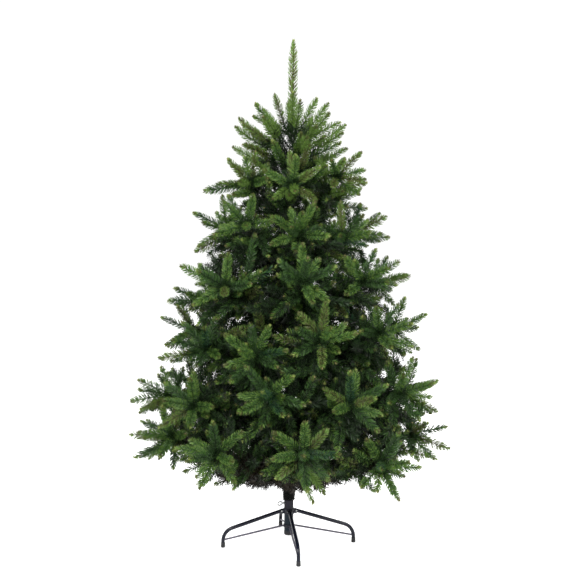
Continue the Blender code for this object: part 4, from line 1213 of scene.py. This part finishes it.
class Sower:
    """Sets needles, stems and buds, with one run of random draws for the whole crown."""

    def __init__(self, settings):
        self.rng = np.random.default_rng(NEEDLE_SEED)
        self.settings = s = settings
        self.stems, self.buds = Heap(), Heap()
        self.tip_mould = Mould(s.whorl_pitch, s.needle_rows, s.needle_width, TIP_STAGGER, 1.0)
        self.rim_mould = Mould(s.whorl_pitch, s.rim_rows, s.rim_width, TIP_STAGGER, 1.0)
        self.inner_mould = Mould(s.inner_pitch, s.inner_rows, s.inner_width, TIP_STAGGER, 1.0)
        self.leader_mould = Mould(s.leader_pitch, s.leader_rows, s.rim_width, 0.0, LEADER_LEAN)

    def tip(self, bed, tip, casts, mould=None, outline=TIP_REACH):
        """Adds a tip's needles to a bed, in the tints of one cast. Tips in sight have a stem, some a bud."""
        rng = self.rng
        cast = rng.choice(list(casts), p=list(casts.values()))
        bend = np.array((0.0, 0.0, rng.uniform(*TIP_SAG))) + rng.normal(0, TIP_WANDER, 3)
        bend -= tip.way * bend.dot(tip.way)
        points, share = moulded_tip(rng, tip, bend, mould or self.tip_mould, outline)
        body, ends = GREENS.index(cast), GREENS.index(BLADE_ENDS.get(cast, "fresh"))
        tints = np.full((len(points), len(BLADE)), body)
        tints[:, 1] = ends
        tints[rng.random(len(points)) < SPECKLE] = ends
        # Needles near the tip's root take a darker green, a painted shade where the needles crowd round the
        # stem
        base = share < SHADED_BASE_NEEDLES_TO * rng.uniform(*BASE_SPREAD, len(share))
        tints[base] = GREENS.index(cast if cast in ("shade", "blue") else "deep")
        # Tips in painted shade get no paler ends
        if cast != "shade":
            late = share > END_NEEDLES_FROM
            pale = rng.random(late.sum()) < PALE_END_CHANCE
            tints[late] = np.where(pale, GREENS.index("fresh"), GREENS.index("olive"))[:, None]
            last = "straw" if rng.random() < STRAW_CHANCE else "olive"
            tints[share > LAST_NEEDLES_FROM] = GREENS.index(last)
        bed.add(points, tints)
        if mould is not self.inner_mould:
            line = stem_point(tip, bend, np.linspace(0.0, 1.0, 3))
            self.stems.loft(swept(line, TIP_STEM_R, TIP_STEM_SIDES))
            if rng.random() < BUD_CHANCE:
                way = unit(line[2] - line[1])
                line = [line[2] + way * BUD_LENGTH * far for _, far in BUD_PROFILE]
                self.buds.loft(swept(line, [BUD_R * wide for wide, _ in BUD_PROFILE], BUD_SIDES))

    def shoot(self, bed, film_bed, root, end, radius, casts):
        """A tip that is given by its end, on as much film-wound wire as it takes to reach its limb."""
        way, whole = unit(end - root), np.linalg.norm(end - root)
        shown = min(PLACED_SHOWN, whole)
        film_end = end - way * shown * PLACED_FILM_END
        self.film(film_bed, root, film_end, PLACED_FILM_REACH, share=PLACED_FILM_SHARE)
        if whole > shown + GAP:
            line = straight(root, end - way * shown, STEM_STEP)
            self.stems.loft(swept(line, TIP_STEM_R[0], TIP_STEM_SIDES))
        self.tip(bed, Tip(end - way * shown, way, shown, radius), casts)

    def film(self, bed, start, end, reach, tint="dark_film", share=1.0):
        """Adds a wire's cut needles to a bed. Reach is one length, or those at its start and its end."""
        settings = self.settings
        count, reach = settings.film_per_metre * share, np.broadcast_to(reach, 2)
        points = film_needles(self.rng, start, end, count, reach, settings.film_width)
        tints = np.full((len(points), 1), FILMS.index(tint))
        # A share of the film is near black, a painted shade
        tints[self.rng.random(len(points)) < SHADE_BLACK_FILM_SHARE] = FILMS.index("black_film")
        bed.add(points, tints)


class TREE_OT_foliage(bpy.types.Operator):
    """Sets the moulded needles of every tip and shoot, the film needles of the wires, and the buds"""

    bl_idname = "tree.foliage"
    bl_label = "Foliage"

    def execute(self, context):
        settings = context.scene.tree_crown
        crown, sower = grown_crown(), Sower(settings)
        moulded, film = moulded_polyethylene(settings), cut_vinyl(settings)
        for ring in RINGS:
            bed, inner_bed, film_bed = Bed(BLADE), Bed(BLADE), Bed(FILM)
            for owner, start, end in crown.limbs:
                if owner is ring and ring is RINGS[0]:
                    sower.film(film_bed, start, end, settings.film_reach * LOW_FILM_REACH, *LOW_FILM)
                elif owner is ring:
                    sower.film(film_bed, start, end, settings.film_reach)
            for owner, root, point in crown.inner:
                if owner is ring:
                    self.add_inner(sower, inner_bed, film_bed, root, point)
            nodes = [mass.name for mass in crown.masses if mass.ring is ring]
            for name in nodes:
                for tip in crown.tips[name]:
                    sower.tip(bed, tip, LIT_HIGH_CASTS if ring is RINGS[-1] else TIP_CASTS)
            if ring is RINGS[0]:
                self.add_foot(sower, crown, bed, film_bed)
            settle(bed.make(f"moulded_needles_{ring.name}"), NEEDLES, moulded, *nodes)
            settle(inner_bed.make(f"inner_needles_{ring.name}"), NEEDLES, moulded)
            settle(film_bed.make(f"film_needles_{ring.name}"), NEEDLES, film)
        self.make_top(sower, crown, moulded, film)
        # The tip stems take the shade green, a painted shade
        settle(sower.stems.make("tip_stems", STEM_SHARP_FROM), NEEDLES, [moulded[GREENS.index("shade")]])
        settle(sower.buds.make("tip_buds", STEM_SHARP_FROM), NEEDLES, [bud_scales(settings.bud)])
        return {"FINISHED"}

    def add_inner(self, sower, bed, film_bed, root, point):
        """An inner shoot: full needles at the crown's rim, fewer inside it, and only film low down."""
        film_reach = sower.settings.inner_film_reach
        if point[2] < BROWN_UNDER_Z:
            sower.film(film_bed, root, point, film_reach, *LOW_FILM)
            return
        at_rim = math.hypot(point[0], point[1]) > RIM_FROM * np.interp(point[2], *CROWN_REACH)
        # Shoots deep in the crown take darker tints, a painted shade
        kind = (SHADED_RIM_CASTS, sower.rim_mould) if at_rim else (SHADED_INNER_CASTS, sower.inner_mould)
        sower.tip(bed, tip_between(root, point, INNER_R), *kind)
        sower.film(film_bed, root, point, film_reach, share=INNER_FILM_SHARE)

    def add_foot(self, sower, crown, bed, film_bed):
        """The tips that hang in front or stand out, and the film that widens above the pole's wound band."""
        kinds = ((crown.hanging, HANGING_R, PALE_CAST), (crown.outer, OUTER_R, OUTER_CASTS))
        for shoots, radius, casts in kinds:
            for root, end in shoots:
                sower.shoot(bed, film_bed, root, end, radius, casts)
        band_foot, foot, top = (np.array(axis_point(z)) for z in (FUZZ_FROM_Z, *SKIRT_Z))
        # Near-black film round the band, a painted shade under the crown
        sower.film(film_bed, band_foot, foot, FUZZ_REACH, "black_film", SKIRT_SHARE)
        sower.film(film_bed, foot, top, [BAND_R + out for out in SKIRT_REACH], "brown_film", SKIRT_SHARE)

    def make_top(self, sower, crown, moulded, film):
        """The short tips round the leader's foot, and the leader with its sparser needles."""
        bed, film_bed = Bed(BLADE), Bed(FILM)
        for root, end in crown.top:
            sower.shoot(bed, film_bed, root, end, TOP_TIP_R * TOP_TIP_WIDTH, LIT_TOP_CASTS)
        foot, point = np.array(axis_point(LEADER_FOOT_Z)), np.array(axis_point(LEADER_TOP_Z))
        leader = tip_between(foot, point, LEADER_NEEDLE_R)
        sower.tip(bed, leader, LEADER_CAST, sower.leader_mould, LEADER_REACH)
        settle(bed.make("moulded_needles_top"), NEEDLES, moulded, "foliage_top")
        settle(film_bed.make("film_needles_top"), NEEDLES, film)


# Stage

# Name, place, side of the square and power of each soft light
LIGHTS = (
    ("key_light", (-1.6, -3.4, 3.4), 1.6, 230.0),
    ("fill_light", (2.6, -2.6, 2.6), 2.0, 110.0),
    ("back_light", (0.5, 2.8, 3.2), 2.4, 70.0),
)


class TREE_OT_stage(bpy.types.Operator):
    """Makes the pale floor, the soft lights and the camera"""

    bl_idname = "tree.stage"
    bl_label = "Stage"

    def execute(self, context):
        settings, scene = context.scene.tree_stage, context.scene
        scene.view_settings.view_transform = "Standard"
        scene.world = bpy.data.worlds.new("white_room")
        scene.world.use_nodes = True
        room = scene.world.node_tree.nodes["Background"]
        room.inputs["Color"].default_value = linear("#ffffff")
        room.inputs["Strength"].default_value = settings.room_light

        half = settings.floor_side / 2
        corners = [(-half, -half, 0.0), (half, -half, 0.0), (half, half, 0.0), (-half, half, 0.0)]
        mesh = bpy.data.meshes.new("floor")
        mesh.from_pydata(corners, [], [(0, 1, 2, 3)])
        floor = bpy.data.objects.new("floor", mesh)
        scene.collection.objects.link(floor)
        # Opal acrylic over a lit table, which keeps the ground under the stand white
        opal = new_material("opal_acrylic_floor", linear("#fbfbfb"), 0.9)
        shader = opal.node_tree.nodes["Principled BSDF"]
        shader.inputs["Emission Color"].default_value = linear("#ffffff")
        shader.inputs["Emission Strength"].default_value = settings.floor_glow
        mesh.materials.append(opal)

        for name, place, side, power in LIGHTS:
            light = bpy.data.lights.new(name, "AREA")
            light.shape, light.size, light.energy = "SQUARE", side, power
            lamp = bpy.data.objects.new(name, light)
            lamp.location = place
            aim = Vector((0.0, 0.0, TREE_HEIGHT / 2)) - lamp.location
            lamp.rotation_euler = aim.to_track_quat("-Z", "Y").to_euler()
            scene.collection.objects.link(lamp)

        camera = bpy.data.cameras.new("photo_camera")
        camera.sensor_width = SENSOR_MM
        camera.lens = FOCAL_PX / PHOTO_SIDE_PX * SENSOR_MM
        eye = bpy.data.objects.new("photo_camera", camera)
        eye.location = CAMERA_AT
        eye.rotation_euler = (math.pi / 2, 0.0, 0.0)
        scene.collection.objects.link(eye)
        scene.camera = eye
        return {"FINISHED"}


class TREE_PT_panel(bpy.types.Panel):
    """The steps that dress the tree, and their settings"""

    bl_label = "Artificial tree"
    bl_idname = "TREE_PT_panel"
    bl_space_type = "VIEW_3D"
    bl_region_type = "UI"
    bl_category = "Tree"

    def draw(self, context):
        for step in STEPS:
            self.layout.operator(step.bl_idname)
        for name, kind in SETTINGS.items():
            for key in kind.__annotations__:
                self.layout.prop(getattr(context.scene, name), key)


STEPS = (TREE_OT_stage, TREE_OT_stand, TREE_OT_pole, TREE_OT_limbs, TREE_OT_foliage)
SETTINGS = {
    "tree_stage": StageSettings,
    "tree_stand": StandSettings,
    "tree_pole": PoleSettings,
    "tree_limbs": LimbSettings,
    "tree_crown": CrownSettings,
}
CLASSES = (*SETTINGS.values(), *STEPS, TREE_PT_panel)


def register():
    for cls in CLASSES:
        bpy.utils.register_class(cls)
    for name, kind in SETTINGS.items():
        setattr(bpy.types.Scene, name, bpy.props.PointerProperty(type=kind))


def unregister():
    for name in SETTINGS:
        delattr(bpy.types.Scene, name)
    for cls in reversed(CLASSES):
        bpy.utils.unregister_class(cls)


def main():
    register()
    bpy.ops.tree.stage()
    bpy.ops.tree.stand()
    bpy.ops.tree.pole()
    bpy.ops.tree.limbs()
    bpy.ops.tree.foliage()


if __name__ == "__main__":
    main()
